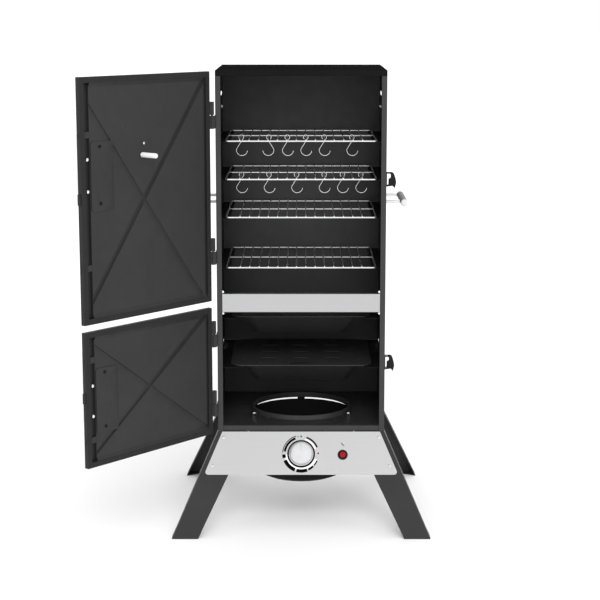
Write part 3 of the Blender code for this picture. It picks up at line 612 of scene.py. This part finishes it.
def burner():
    """The cast burner with a ring of ports, over its bowl."""
    softened("gas_burner", 0.0008)
    bowl_low, bowl_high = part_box("burner_bowl")
    softened("burner_bowl", 0.0, LEDGE_BLACK)
    low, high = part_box("gas_burner")
    centre = Vector(((bowl_low.x + bowl_high.x) / 2, (bowl_low.y + bowl_high.y) / 2, 0))
    # each port is a small cap in the hole colour: painted shade where the port's hole is
    ports = []
    count = 24
    for i in range(count):
        a = math.tau * i / count
        out = Vector((math.cos(a), math.sin(a), 0.9))
        spot = centre + Vector((math.cos(a), math.sin(a), 0)) * 0.0425 + UP * (high.z - 0.0098)
        ports.append(lathe("port", [(0.0, 0.0004), (0.0022, 0.0003), (0.0022, -0.002)], 14,
                           facing(spot, out)))
    piece(joined("burner_ports", ports), "cabinet", "cast_iron", HOLE_SHADE)


# ------------------------------------------------------------------ control panel


def dial_arc(radius, width, start, end, steps=20):
    """A band of a ring from one angle to another, in degrees from +X."""
    return arc((0, KNOB_Y), radius + width / 2, start, end, steps) + arc(
        (0, KNOB_Y), radius - width / 2, end, start, steps
    )


KNOB_Y = (KNOB_LOW.y + KNOB_HIGH.y) / 2
FLAT_THICKNESS = 0.00025


def dial_print_and_knob_shadow():
    """Generic arcs round the dial that widen with the flame, a pointer mark at the top, and a black disc just
    wider than the knob, whose rim round the knob's foot is painted shadow.
    """
    radius = 0.0435
    bands = [
        dial_arc(radius, 0.0034, -42, -24, 8),
        dial_arc(radius, 0.0056, -66, -46, 8),
        dial_arc(radius, 0.0084, -106, -70, 12),
        dial_arc(radius, 0.0092, -158, -111, 14),
        dial_arc(radius, 0.0088, -178, -166, 5),
        dial_arc(radius + 0.0032, 0.0020, 106, 176, 18),
        dial_arc(radius - 0.0020, 0.0056, 110, 172, 18),
        dial_arc(radius, 0.0042, 22, 72, 14),
        [(-0.0026, KNOB_Y + radius - 0.001), (0.0026, KNOB_Y + radius - 0.001),
         (0.0, KNOB_Y + radius + 0.0040)],
        [(-0.0105, KNOB_Y + radius - 0.0012), (-0.0060, KNOB_Y + radius - 0.0004),
         (-0.0078, KNOB_Y + radius + 0.0018)],
        arc((radius - 0.0005, KNOB_Y + 0.0012), 0.0021, 0, 345, 15),
        # a black disc a little wider than the knob: its rim round the knob's foot is painted shadow
        arc((0, KNOB_Y), 0.0350, 0, 355, 71),
    ]
    marks = [
        flat_plate("mark", [band], FLAT_THICKNESS, 0.00002, PANEL @ Matrix.Translation((0, 0, FACE)))
        for band in bands
    ]
    piece(joined("dial_print_and_knob_shadow", marks), "cabinet", "black_plastic", PRINT_AND_SHADOW)
    ground = [dial_arc(0.0385, 0.0058, -178, -20, 60)]
    ground.append(dial_arc(0.0376, 0.0040, 20, 74, 20))
    place = PANEL @ Matrix.Translation((0, 0, FACE - 0.00012))
    pale = [flat_plate("ground", [band], FLAT_THICKNESS, 0.00002, place) for band in ground]
    piece(joined("dial_ground", pale), "cabinet", "stainless", DIAL_WHITE)
    halo = [arc((radius, KNOB_Y + 0.0012), 0.0046, 0, 350, 24)]
    halo.append(arc((radius, KNOB_Y + 0.0012), 0.0036, 0, 350, 24))
    ring = flat_plate("dial_off_mark", halo, FLAT_THICKNESS, 0.00002, PANEL @ Matrix.Translation((0, 0, FACE)))
    piece(ring, "cabinet", "red_plastic", PALE_PRINT)
    x = (BUTTON_LOW.x + BUTTON_HIGH.x) / 2
    y = (BUTTON_LOW.y + BUTTON_HIGH.y) / 2 + 0.0262
    spark = [(-0.0052, 0.0046), (-0.0010, 0.0030), (0.0002, 0.0010), (0.0052, -0.0042),
             (0.0004, -0.0026), (-0.0008, -0.0004)]
    outline = [(x + u, y + v) for u, v in spark]
    place = PANEL @ Matrix.Translation((0, 0, FACE))
    mark = flat_plate("spark_mark", [outline], FLAT_THICKNESS, 0.00002, place)
    piece(mark, "cabinet", "black_plastic", PRINT_AND_SHADOW)


def panel_screws():
    half_top = 0.1965
    half_foot = 0.2235
    spots = [
        (-half_top, PANEL_HIGH.y - 0.0150, 35),
        (half_top, PANEL_HIGH.y - 0.0150, 50),
        (-half_foot, PANEL_LOW.y + 0.0225, 20),
        (half_foot, PANEL_LOW.y + 0.0225, 75),
    ]
    heads = [
        pan_screw(0.0044, 0.0022, PANEL @ Matrix.Translation((x, y, FACE + LIFT)), angle)
        for x, y, angle in spots
    ]
    piece(joined("panel_screws", heads), "cabinet", "stainless", HANDLE_STEEL)
    hem = block(
        (MIDDLE_X - 0.1317, FRONT_Y + 0.0040, WRAP_LOW.z - 0.0045),
        (MIDDLE_X + 0.1317, FRONT_Y + 0.0052, WRAP_LOW.z - 0.0004),
    )
    piece(hem, "cabinet", "black_steel")


def control_knob():
    """The domed dial, with a finger ridge and fluted skirt, and under its foot a black ring that paints the shadow
    there.
    """
    top = KNOB_HIGH.z - FACE
    radius = (KNOB_HIGH.x - KNOB_LOW.x) / 2
    profile = [(0.0, top - 0.0020)]
    crown = radius - 0.0034
    for i in range(1, 9):
        a = math.radians(90 * i / 9)
        profile.append((crown * math.sin(a), top - 0.0020 - 0.0062 * (1 - math.cos(a))))
    profile += [
        (crown + 0.0002, top - 0.0105),
        (crown + 0.0012, 0.0062),
        (radius - 0.0010, 0.0046),
        (radius, 0.0036),
        (radius, 0.0018),
        (radius - 0.0008, 0.0010),
        (0.0046, 0.0010),
        (0.0046, 0.0120),
        (0.0, 0.0120),
    ]
    place = PANEL @ Matrix.Translation((0, KNOB_Y, FACE))
    knob = lathe("control_knob_fine", profile, 96, place)
    piece(knob, "control_knob", "knob", replaces=["control_knob"])
    line = [(0.0, 0.0), (0.0011, 0.0003), (0.0014, 0.010), (0.0011, 0.0166), (0.0, 0.0170)]
    outline = line + [(-x, y) for x, y in reversed(line[1:-1])]
    at = PANEL @ Matrix.Translation((0, KNOB_Y + 0.0060, FACE + top - 0.0046))
    ridge = flat_plate("knob_pointer", [outline], 0.0044, 0.0006, at)
    piece(ridge, "control_knob", "knob")
    # black ring under the knob, in the gap over the panel: painted shade beneath the knob's foot
    shadow_ring = lathe(
        "knob_painted_shadow_ring",
        [(radius - 0.0030, 0.00095), (radius - 0.0030, 0.0002), (0.008, 0.0002), (0.008, 0.00095)],
        64,
        place,
    )
    piece(shadow_ring, "control_knob", "black_plastic")


def igniter():
    softened("igniter_body", 0.0002)
    softened("igniter_button", 0.0003)


# ------------------------------------------------------------------ doors


CREASES = {
    "upper": (((-0.1853, 1.1208), (0.1852, 0.6263)), ((0.1835, 1.0970), (-0.1772, 0.6122))),
    "lower": (((-0.1813, 0.5437), (0.1839, 0.2740)), ((0.1848, 0.5422), (-0.1881, 0.2725))),
}
TABS = {"upper": (1.0225, 0.7183), "lower": (0.5031, 0.3125)}
LIP = 0.0135
SUNK = 0.0045
CREASE_WIDTH = 0.0125
CREASE_STEP = 0.0014
CREASE_DEPTHS = (0.0036, 0.0024)
STRIP = 0.0220


def door(which):
    softened(which + "_door_skin", 0.0006, LIP_BLACK)
    body = which + "_door"
    low, high = local_box(which + "_door_liner", DOORS[which])
    skin_low, skin_high = local_box(which + "_door_skin", DOORS[which])
    liner(which, low, high, skin_low, skin_high)
    handle_pad(which, high.y - SUNK, skin_high)
    handle(which)
    inner = skin_low.y + 0.0012
    nuts = []
    for z in {"upper": (0.9673, 0.8943), "lower": (0.4426, 0.3700)}[which]:
        at = DOORS[which] @ facing((skin_high.x - 0.0275, inner + LIFT, z), (0, 1, 0))
        dome = [(0.0, 0.0085), (0.0022, 0.0082), (0.0040, 0.0070), (0.0047, 0.0052),
                (0.0048, 0.0020), (0.0048, 0.0)]
        nuts.append(lathe("nut", dome, 24, at))
    piece(joined(which + "_handle_nuts", nuts), body, "stainless", MATERIALS["chrome"])
    if which == "upper":
        probe_fittings(high.y - SUNK)


def liner(which, low, high, skin_low, skin_high):
    """The inner sheet, sunk inside the lip, creased from corner to corner, tabbed to the edge."""
    lines = []
    for start, end in CREASES[which]:
        start = Vector((start[0] + MIDDLE_X, start[1]))
        end = Vector((end[0] + MIDDLE_X, end[1]))
        along = (end - start).normalized()
        across = Vector((along.y, -along.x))
        if across.x < 0:
            across.negate()
        lines.append((start, across))
    right = skin_high.x - LIP - STRIP
    top, foot = skin_high.z - LIP, skin_low.z + LIP
    bm = bmesh.new()
    bmesh.ops.create_grid(bm, x_segments=12, y_segments=16, size=0.5)
    for vert in bm.verts:
        along, up = vert.co.x + 0.5, vert.co.y + 0.5
        vert.co = Vector((
            low.x + along * (right - low.x),
            0,
            low.z + up * (high.z - low.z),
        ))

    def slit(place, normal):
        everything = bm.verts[:] + bm.edges[:] + bm.faces[:]
        bmesh.ops.bisect_plane(bm, geom=everything, dist=1e-6, plane_co=place, plane_no=normal)

    for start, across in lines:
        for offset in (-CREASE_STEP, 0.0, CREASE_WIDTH):
            spot = start + across * offset
            slit(Vector((spot.x, 0, spot.y)), Vector((across.x, 0, across.y)))
    for z in (top, top - 0.0045, top - 0.009, foot, foot + 0.0045, foot + 0.009):
        slit(Vector((0, 0, z)), UP)

    def depth(x, z):
        deepest = 0.0
        for (start, across), crease in zip(lines, CREASE_DEPTHS):
            away = (Vector((x, z)) - start).dot(across)
            if 0 <= away < CREASE_WIDTH:
                deepest = max(deepest, crease * (1 - away / CREASE_WIDTH))
            elif -CREASE_STEP < away < 0:
                deepest = max(deepest, crease * (1 + away / CREASE_STEP))
        inside = min(1.0, max(0.0, min(top - z, z - foot) / 0.009))
        ease = inside * inside * (3 - 2 * inside)
        return SUNK * ease + deepest * ease

    for vert in bm.verts:
        vert.co.y = high.y - depth(vert.co.x, vert.co.z)
    sheet = from_bmesh(which + "_liner_sheet", bm, DOORS[which])
    solid = sheet.modifiers.new("sheet", "SOLIDIFY")
    solid.thickness = 0.0008
    solid.offset = 0
    parts = [sheet]
    level = high.y - SUNK
    parts.append(block(
        (right - 0.0010, skin_low.y + 0.0016, foot - 0.002),
        (right, level, top + 0.002),
        0.0002,
        DOORS[which],
    ))
    for z in TABS[which]:
        parts.append(block(
            (right - 0.0005, level - 0.0010, z - 0.0075), (skin_high.x - 0.0030, level, z + 0.0075),
            0.0002, DOORS[which],
        ))
    made = joined(which + "_door_liner_fine", parts)
    piece(made, which + "_door", "black_enamel", DOOR_BLACK, 12, [which + "_door_liner"])


def handle_pad(which, level, skin_high):
    """The pressed pad behind the handle, with two dimples and a rivet in each."""
    low_z, high_z, dimples = {
        "upper": (0.8470, 1.0070, (0.9948, 0.8646)),
        "lower": (0.3250, 0.4815, (0.4699, 0.3400)),
    }[which]
    left, right = skin_high.x - 0.1060, skin_high.x - 0.0375
    y = level + 0.0002
    place = DOORS[which] @ facing((0, y, 0), (0, 1, 0))
    back = place.inverted() @ DOORS[which]
    corners = rounded_rectangle(left, right, low_z, high_z, 0.007, 6)
    outline = [tuple((back @ Vector((x, y, z)))[:2]) for x, z in corners]
    holes = []
    for z in dimples:
        ring = arc((skin_high.x - 0.0655, z), 0.0046, 0, 345, 23)
        holes.append([tuple((back @ Vector((x, y, w)))[:2]) for x, w in ring])
    plate = flat_plate(which + "_handle_pad", [outline] + holes, 0.0021, 0.0007, place)
    piece(plate, which + "_door", "black_enamel", DOOR_BLACK)
    rivets = []
    for z in dimples:
        at = DOORS[which] @ facing((skin_high.x - 0.0655, y + LIFT, z), (0, 1, 0))
        rivets.append(pan_screw(0.0034, 0.0005, at))
    piece(joined(which + "_pad_rivets", rivets), which + "_door", "black_steel", LEDGE_BLACK)


def handle(which):
    """The round bar, its feet and the washers under them."""
    node = which + "_door_handle"
    low, high = local_box(node, DOORS[which])
    radius = 0.0050
    x = (low.x + high.x) / 2
    start, end = low.z + radius, high.z - radius
    out = low.y + radius
    face = high.y
    corners = [(x, face, start), (x, out, start), (x, out, end), (x, face, end)]
    path = [DOORS[which] @ point for point in rounded_path(corners, 0.0125, 10)]
    bar = wires(node + "_fine", [(path, radius - 0.00002, False)], 8)
    piece(bar, which + "_door", "stainless", HANDLE_STEEL, replaces=[node])
    feet = []
    for z in (start, end):
        at = DOORS[which] @ facing((x, face, z), (0, -1, 0))
        ring = [(0.0052, 0.0), (0.0080, 0.0), (0.0084, 0.0006), (0.0080, 0.0016), (0.0066, 0.0024),
                (0.0052, 0.0026), (0.0052, 0.0)]
        feet.append(lathe("foot", ring[::-1], 36, at))
    piece(joined(which + "_handle_collars", feet), which + "_door", "stainless", HANDLE_STEEL)


def probe_fittings(level):
    """The stud and screw holes round the gauge's stem on the door's inner face."""
    stud = DOORS["upper"] @ facing((0.0135 + MIDDLE_X, level, 0.9938), (0, 1, 0))
    profile = [(0.0, 0.0046), (0.0020, 0.0043), (0.0031, 0.0034), (0.0034, 0.0020), (0.0034, 0.0)]
    piece(lathe("gauge_stud", profile, 24, stud), "upper_door", "stainless", MATERIALS["chrome"])
    # each screw hole is a thin near-black disc on the liner: painted shade for the hole
    rings = []
    for x, z, radius in ((0.0682, 1.0356, 0.0022), (-0.0372, 1.0354, 0.0018)):
        at = DOORS["upper"] @ facing((x + MIDDLE_X, level + 0.0002, z), (0, 1, 0))
        profile = [(0.0, 0.0003), (radius, 0.0003), (radius + 0.0004, 0.0)]
        rings.append(lathe("hole", profile, 20, at))
    piece(joined("liner_screw_holes", rings), "upper_door", "black_plastic", HOLE_SHADE)


def thermometer():
    """The gauge in the upper door: stem, case, bezel, ticked dial, needle and glass."""
    low, high = local_box("thermometer", DOORS["upper"])
    centre_x, centre_z = (low.x + high.x) / 2, (low.z + high.z) / 2
    radius = (high.x - low.x) / 2
    skin_low, _ = local_box("upper_door_skin", DOORS["upper"])
    back = skin_low.y - LIFT
    at = DOORS["upper"] @ facing((centre_x, back, centre_z), (0, -1, 0))
    stem_end = back - high.y
    case_top = back - low.y
    case = [
        (radius - 0.0042, case_top - 0.0040),
        (radius - 0.0038, case_top - 0.0006),
        (radius - 0.0026, case_top),
        (radius - 0.0012, case_top - 0.0003),
        (radius - 0.0002, case_top - 0.0020),
        (radius, case_top - 0.0050),
        (radius - 0.0002, 0.0010),
        (radius - 0.0010, 0.0),
        (0.0060, 0.0),
        (0.0056, -0.0006),
        (0.0054, -0.0040),
        (0.0054, stem_end + 0.0070),
        (0.0, stem_end + 0.0070),
    ]
    base = [(0.0, case_top - 0.0062), (radius - 0.0042, case_top - 0.0062)]
    made = lathe("thermometer_fine", base + case, 64, at)
    piece(made, "upper_door", "stainless", MATERIALS["chrome"], replaces=["thermometer"])
    sleeve = [(0.0, stem_end + 0.00002), (0.0030, stem_end + 0.0004), (0.0050, stem_end + 0.0016),
              (0.0060, stem_end + 0.0040), (0.0060, -0.0080), (0.0057, -0.0078),
              (0.0057, stem_end + 0.0052), (0.0, stem_end + 0.0052)]
    piece(lathe("gauge_probe", sleeve[::-1], 48, at), "upper_door", "stainless", ZINC)
    dial = lathe("gauge_dial", [(0.0, case_top - 0.0056), (radius - 0.0044, case_top - 0.0056),
                                (radius - 0.0044, case_top - 0.0060)], 64, at)
    piece(dial, "upper_door", "stainless", DIAL_WHITE)
    ticks = []
    count = 27
    for i in range(count):
        a = math.radians(225 - 270 * i / (count - 1))
        long = 0.0034 if i % 3 == 0 else 0.0018
        turn = at @ Matrix.Rotation(a, 4, "Z") @ Matrix.Translation((0, 0, case_top - 0.0056))
        end = radius - 0.0060
        ticks.append(block((end - long, -0.00022, 0.0), (end, 0.00022, 0.0002), 0.00004, turn))
    needle = [(-0.0050, -0.0009), (0.0, -0.0011), (0.0165, 0.0), (0.0, 0.0011), (-0.0050, 0.0009)]
    turn = at @ Matrix.Rotation(math.radians(205), 4, "Z")
    ticks.append(flat_plate("needle", [needle], 0.0003, 0.00005,
                            turn @ Matrix.Translation((0, 0, case_top - 0.0050))))
    hub = [(0.0, 0.0012), (0.0012, 0.0011), (0.0018, 0.0006), (0.0018, 0.0)]
    ticks.append(lathe("hub", hub, 20, at @ Matrix.Translation((0, 0, case_top - 0.0052))))
    piece(joined("gauge_marks", ticks), "upper_door", "black_plastic", PRINT_AND_SHADOW)
    pane = [(0.0, case_top - 0.0018), (0.0100, case_top - 0.0019), (0.0200, case_top - 0.0024),
            (radius - 0.0042, case_top - 0.0030), (radius - 0.0042, case_top - 0.0038),
            (0.0, case_top - 0.0036)]
    glass = lathe("gauge_glass", pane, 64, at)
    piece(glass, "upper_door", "stainless", glass_material())


def hinges_and_latches():
    for which in ("upper", "lower"):
        for number in (1, 2):
            softened(f"{which}_hinge_{number}_cabinet_leaf", 0.0004)
            softened(f"{which}_hinge_{number}_door_leaf", 0.0004)
        latch(which)


def latch(which):
    """A draw latch: a curved cam lever between two cheeks, tied to the wall by thin bars."""
    node = which + "_latch_lever"
    low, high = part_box(node)
    reach, rise = high.x - low.x, (high.z - low.z) * 0.88
    outer = [(0.0, 1.0), (0.55, 1.0), (0.66, 0.985), (0.76, 0.93), (0.86, 0.78), (0.95, 0.58),
             (1.0, 0.40), (0.985, 0.28), (0.92, 0.13), (0.86, 0.0), (0.78, 0.02), (0.70, 0.10),
             (0.62, 0.14), (0.0, 0.09)]
    hollow = [(0.06, 0.93), (0.36, 0.93), (0.46, 0.86), (0.47, 0.70), (0.40, 0.60), (0.24, 0.58),
              (0.22, 0.19), (0.06, 0.16)]
    cam = [(0.26, 0.58), (0.42, 0.60), (0.52, 0.72), (0.62, 0.96), (0.74, 0.93), (0.84, 0.78),
           (0.93, 0.58), (0.98, 0.40), (0.96, 0.28), (0.90, 0.14), (0.85, 0.03), (0.78, 0.05),
           (0.68, 0.15), (0.26, 0.19)]
    cheek = 0.0018
    upright = Matrix.Rotation(math.pi / 2, 4, "X")
    parts = []
    for name, loops, near, far, bevel in (
        ("cheek", (outer, hollow), low.y + 0.0010, low.y + 0.0010 + cheek, 0.0004),
        ("cheek", (outer, hollow), high.y - 0.0010 - cheek, high.y - 0.0010, 0.0004),
        ("cam", (cam,), low.y + 0.0010 + cheek, high.y - 0.0010 - cheek, 0.0006),
    ):
        outlines = [[(u * reach, v * rise) for u, v in loop] for loop in loops]
        place = Matrix.Translation((low.x, far, low.z)) @ upright
        parts.append(flat_plate(name, outlines, far - near, bevel, place))
    pin = [(0.0, 0.0006), (0.0016, 0.0004), (0.0020, 0.0), (0.0, 0.0)]
    at = facing((low.x + reach * 0.40, low.y + 0.0010, low.z + rise * 0.30), (0, -1, 0))
    parts.append(lathe("pin", pin[::-1], 20, at))
    piece(joined(node + "_fine", parts), BODY_OF[node], SLOTS[node], MATERIALS["black_plastic"],
          replaces=[node])


def hinge_fasteners():
    """Screws through each hinge plate into the cabinet's side."""
    heads = []
    for which in ("upper", "lower"):
        for number in (1, 2):
            low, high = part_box(f"{which}_hinge_{number}_cabinet_leaf")
            _, leaf_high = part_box(f"{which}_hinge_{number}_door_leaf")
            plate_top = leaf_high.z - 0.033
            for z in (low.z + 0.008, plate_top - 0.008):
                at = facing((WRAP_LOW.x - LIFT - 0.0021, high.y - 0.010, z), (-1, 0, 0))
                heads.append(pan_screw(0.0032, 0.0016, at, 30))
    piece(joined("hinge_screws", heads), "cabinet", "black_steel")


# ------------------------------------------------------------------ side fittings


def side_fittings(side, sign):
    grip_node = "side_grip_" + side
    low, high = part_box(grip_node)
    centre = Vector(((low.x + high.x) / 2, low.y, (low.z + high.z) / 2))
    length = high.y - low.y
    radius = (high.x - low.x) / 2
    at = facing(centre, (0, 1, 0))
    cap_length = 0.0135
    body = [(0.0, length - cap_length), (radius - 0.0004, length - cap_length - LIFT)]
    ribs = 9
    run = length - 2 * cap_length - 0.002
    for i in range(ribs + 1):
        z = length - cap_length - 0.001 - run * i / ribs
        body += [(radius - 0.0001, z), (radius - 0.0001, z - run / ribs * 0.82)] if i < ribs else []
        body += [(radius - 0.0009, z - run / ribs * 0.91)] if i < ribs else []
    body += [(radius - 0.0004, cap_length + LIFT), (0.0, cap_length)]
    made = lathe(grip_node + "_fine", body, 40, at)
    piece(made, "cabinet", "grip", replaces=[grip_node])
    caps = []
    for place in (at, at @ Matrix.Translation((0, 0, length)) @ Matrix.Rotation(math.pi, 4, "X")):
        profile = [
            (0.0, cap_length - LIFT),
            (radius - 0.0012, cap_length - LIFT),
            (radius - 0.0006, cap_length - 0.0010),
            (radius - 0.0003, cap_length - 0.0030),
            (radius - 0.0003, 0.0030),
            (radius - 0.0011, 0.0009),
            (radius - 0.0028, 0.0),
            (0.0, 0.0),
        ]
        caps.append(lathe("cap", profile, 40, place))
    piece(joined(grip_node + "_caps", caps), "cabinet", "grip", END_CAP)
    damper(side, sign)
    post_low, post_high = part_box("side_handle_posts_" + side)
    outer = WRAP_HIGH.x if sign > 0 else WRAP_LOW.x
    heads = []
    for y in (post_low.y + 0.0040, (post_low.y + post_high.y) / 2, post_high.y - 0.0040):
        spot = (outer + sign * (LIFT + 0.0021), y, centre.z)
        heads.append(pan_screw(0.0028, 0.0012, facing(spot, (sign, 0, 0)), 40))
    piece(joined("side_handle_screws_" + side, heads), "cabinet", "chrome")


def damper(side, sign):
    node = "vent_damper_" + side
    low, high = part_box(node)
    wall = low.x if sign > 0 else high.x
    centre = Vector((wall, (low.y + high.y) / 2, (low.z + high.z) / 2))
    plate_out = wall + sign * 0.0015
    plate = block(
        (min(wall, plate_out), low.y, low.z), (max(wall, plate_out), high.y, high.z), 0.0005
    )
    reach = abs((high.x if sign > 0 else low.x) - wall)
    profile = [(0.0, reach), (0.0020, reach - 0.0001), (0.0034, reach - 0.0008)]
    for i in range(3):
        base = reach - 0.0012 - 0.0042 * i
        for angle in range(0, 181, 30):
            a = math.radians(angle)
            profile.append((0.0040 + 0.0016 * math.sin(a), base - 0.0034 * angle / 180))
    profile += [(0.0040, 0.0), (0.0, 0.0)]
    knob = lathe("knob", profile, 32, facing(centre, (sign, 0, 0)))
    made = joined(node + "_fine", [plate, knob])
    piece(made, node, "chrome", smooth=40, replaces=[node])


# ------------------------------------------------------------------ racks and hooks

FRAME_WIRE = 0.0042
CROSS_WIRE = 0.0026
BARS = 14
BAR_PITCH = 0.0233


def rack(number):
    node = f"rack_{number}"
    low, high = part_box(node)
    half = FRAME_WIRE / 2
    left, right = low.x + half, high.x - half
    near, far = low.y + half, high.y - half
    level = low.z + half
    outline = rounded_rectangle(left, right, near, far, 0.008, 8)
    runs = [([(x, y, level) for x, y in outline], half, True)]
    middle = (near + far) / 2
    thin = CROSS_WIRE / 2
    runs.append(([(left, middle, level), (right, middle, level)], thin + 0.0004, False))
    lift = level + half + thin - 0.0008
    for i in range(BARS):
        x = MIDDLE_X + (i - (BARS - 1) / 2) * BAR_PITCH
        runs.append(([(x, near - half * 0.6, lift), (x, far + half * 0.6, lift)], thin, False))
    made = wires(node + "_fine", runs, 4)
    piece(made, node, "chrome", RACK_CHROME, replaces=[node])


def hook(rack_number, place):
    """A bent wire hook: a nearly closed eye over the rack wire, a straight shank, a wide bowl."""
    node = f"hook_{rack_number}_{place}"
    low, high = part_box(node)
    joint = JOINTS[f"{node}_swing"]
    pivot = Vector(joint["pos_m"])
    radius = 0.00108
    turned = pivot.x - low.x > high.x - pivot.x
    turned = -1 if turned else 1
    eye = arc((0.0, -0.0022), 0.0060, 235, -55, 22)
    bowl = arc((0.0015, -0.0345), 0.0140, 172, 352, 24)
    path = [pivot + Vector((turned * x, 0, z)) for x, z in eye + bowl]
    made = wires(node + "_fine", [(path, radius, False)], 4)
    piece(made, node, "chrome", replaces=[node])


def trim_near_rail():
    """Bright screw heads at the centre rail's corners and in the side walls near the top."""
    low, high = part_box("center_rail")
    heads = []
    dome = [(0.0, 0.0052), (0.0018, 0.0049), (0.0030, 0.0038), (0.0034, 0.0020), (0.0034, 0.0)]
    for sign in (-1, 1):
        for z in (high.z + 0.0040, low.z - 0.0040):
            at = facing((MIDDLE_X + sign * 0.1975, FRONT_Y + 0.0060, z), (-sign, 0, 0))
            heads.append(lathe("nub", dome, 20, at))
        wall = WRAP_LOW.x if sign < 0 else WRAP_HIGH.x
        at = facing((wall - sign * (SHEET + LIFT), FRONT_Y + 0.2600, 1.0510), (-sign, 0, 0))
        heads.append(lathe("nub", dome, 20, at))
    piece(joined("rail_screws", heads), "cabinet", "chrome", ZINC)
    rivets = []
    lid_low, lid_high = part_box("chip_tray_lid")
    centre = (lid_low + lid_high) / 2
    for x, y in ((-0.1470, 0.0750), (0.1470, 0.0750), (-0.1035, 0.0280), (0.1035, 0.0280)):
        at = Matrix.Translation((centre.x + x, lid_low.y + y, lid_high.z + 0.0001))
        rivets.append(pan_screw(0.0040, 0.0014, at))
    piece(joined("lid_rivets", rivets), "chip_tray_lid", "black_steel")
    tab = block(
        (centre.x - 0.026, lid_low.y + 0.0010, lid_high.z + 0.0001),
        (centre.x + 0.026, lid_low.y + 0.0120, lid_high.z + 0.0040),
        0.0010,
    )
    piece(tab, "chip_tray_lid", "black_enamel", LEDGE_BLACK)


# ------------------------------------------------------------------ floor, light and camera


SUN_DIRECTION = (0.10, -1.90, 1.0)
SUN_ENERGY = 2.2
SUN_ANGLE = math.radians(40)
VIEW_DISTANCE = 3.931
VIEW_HEIGHT = 1.3175
VIEW_DOWN = math.radians(10.53)
VIEW_LENS = 96.18
VIEW_SHIFT_X = -0.0019


def studio():
    ground = bmesh.new()
    bmesh.ops.create_grid(ground, x_segments=8, y_segments=8, size=60)
    plane = from_bmesh("studio_floor", ground)
    shader = Shader("studio_floor")
    shade = shader.noise(0.7, detail=2.0)
    shader.set(
        Base_Color=shader.mixed(shade, (0.93, 0.93, 0.93), (0.95, 0.95, 0.95)),
        Roughness=1.0,
        Specular_IOR_Level=0.0,
    )
    plane.data.materials.append(shader.material)

    world = bpy.data.worlds.new("studio")
    SCENE.world = world
    world.use_nodes = True
    background = world.node_tree.nodes["Background"]
    background.inputs["Color"].default_value = (1, 1, 1, 1)
    background.inputs["Strength"].default_value = 1.0

    sun = linked("key", bpy.data.lights.new("key", "SUN"))
    sun.data.energy = SUN_ENERGY
    sun.data.angle = SUN_ANGLE
    sun.visible_glossy = False
    sun.matrix_world = facing((0, -2, 3), SUN_DIRECTION)


def camera():
    """The main view: in front of the cabinet's middle, from a little above its top."""
    data = bpy.data.cameras.new("view")
    data.sensor_width = 36.0
    data.lens = VIEW_LENS
    data.shift_x = VIEW_SHIFT_X
    data.clip_end = 200
    view = linked("view", data)
    view.location = (MIDDLE_X, FRONT_Y - VIEW_DISTANCE, VIEW_HEIGHT)
    view.rotation_euler = (math.pi / 2 - VIEW_DOWN, 0, 0)
    SCENE.camera = view


cabinet()
floor()
burner()
dial_print_and_knob_shadow()
panel_screws()
control_knob()
igniter()
door("upper")
door("lower")
thermometer()
hinges_and_latches()
hinge_fasteners()
side_fittings("left", -1)
side_fittings("right", 1)
for number in range(1, 5):
    rack(number)
for rack_number in (1, 2):
    for place in range(1, 7):
        hook(rack_number, place)
trim_near_rail()
studio()
camera()
SCENE.view_settings.view_transform = "Standard"
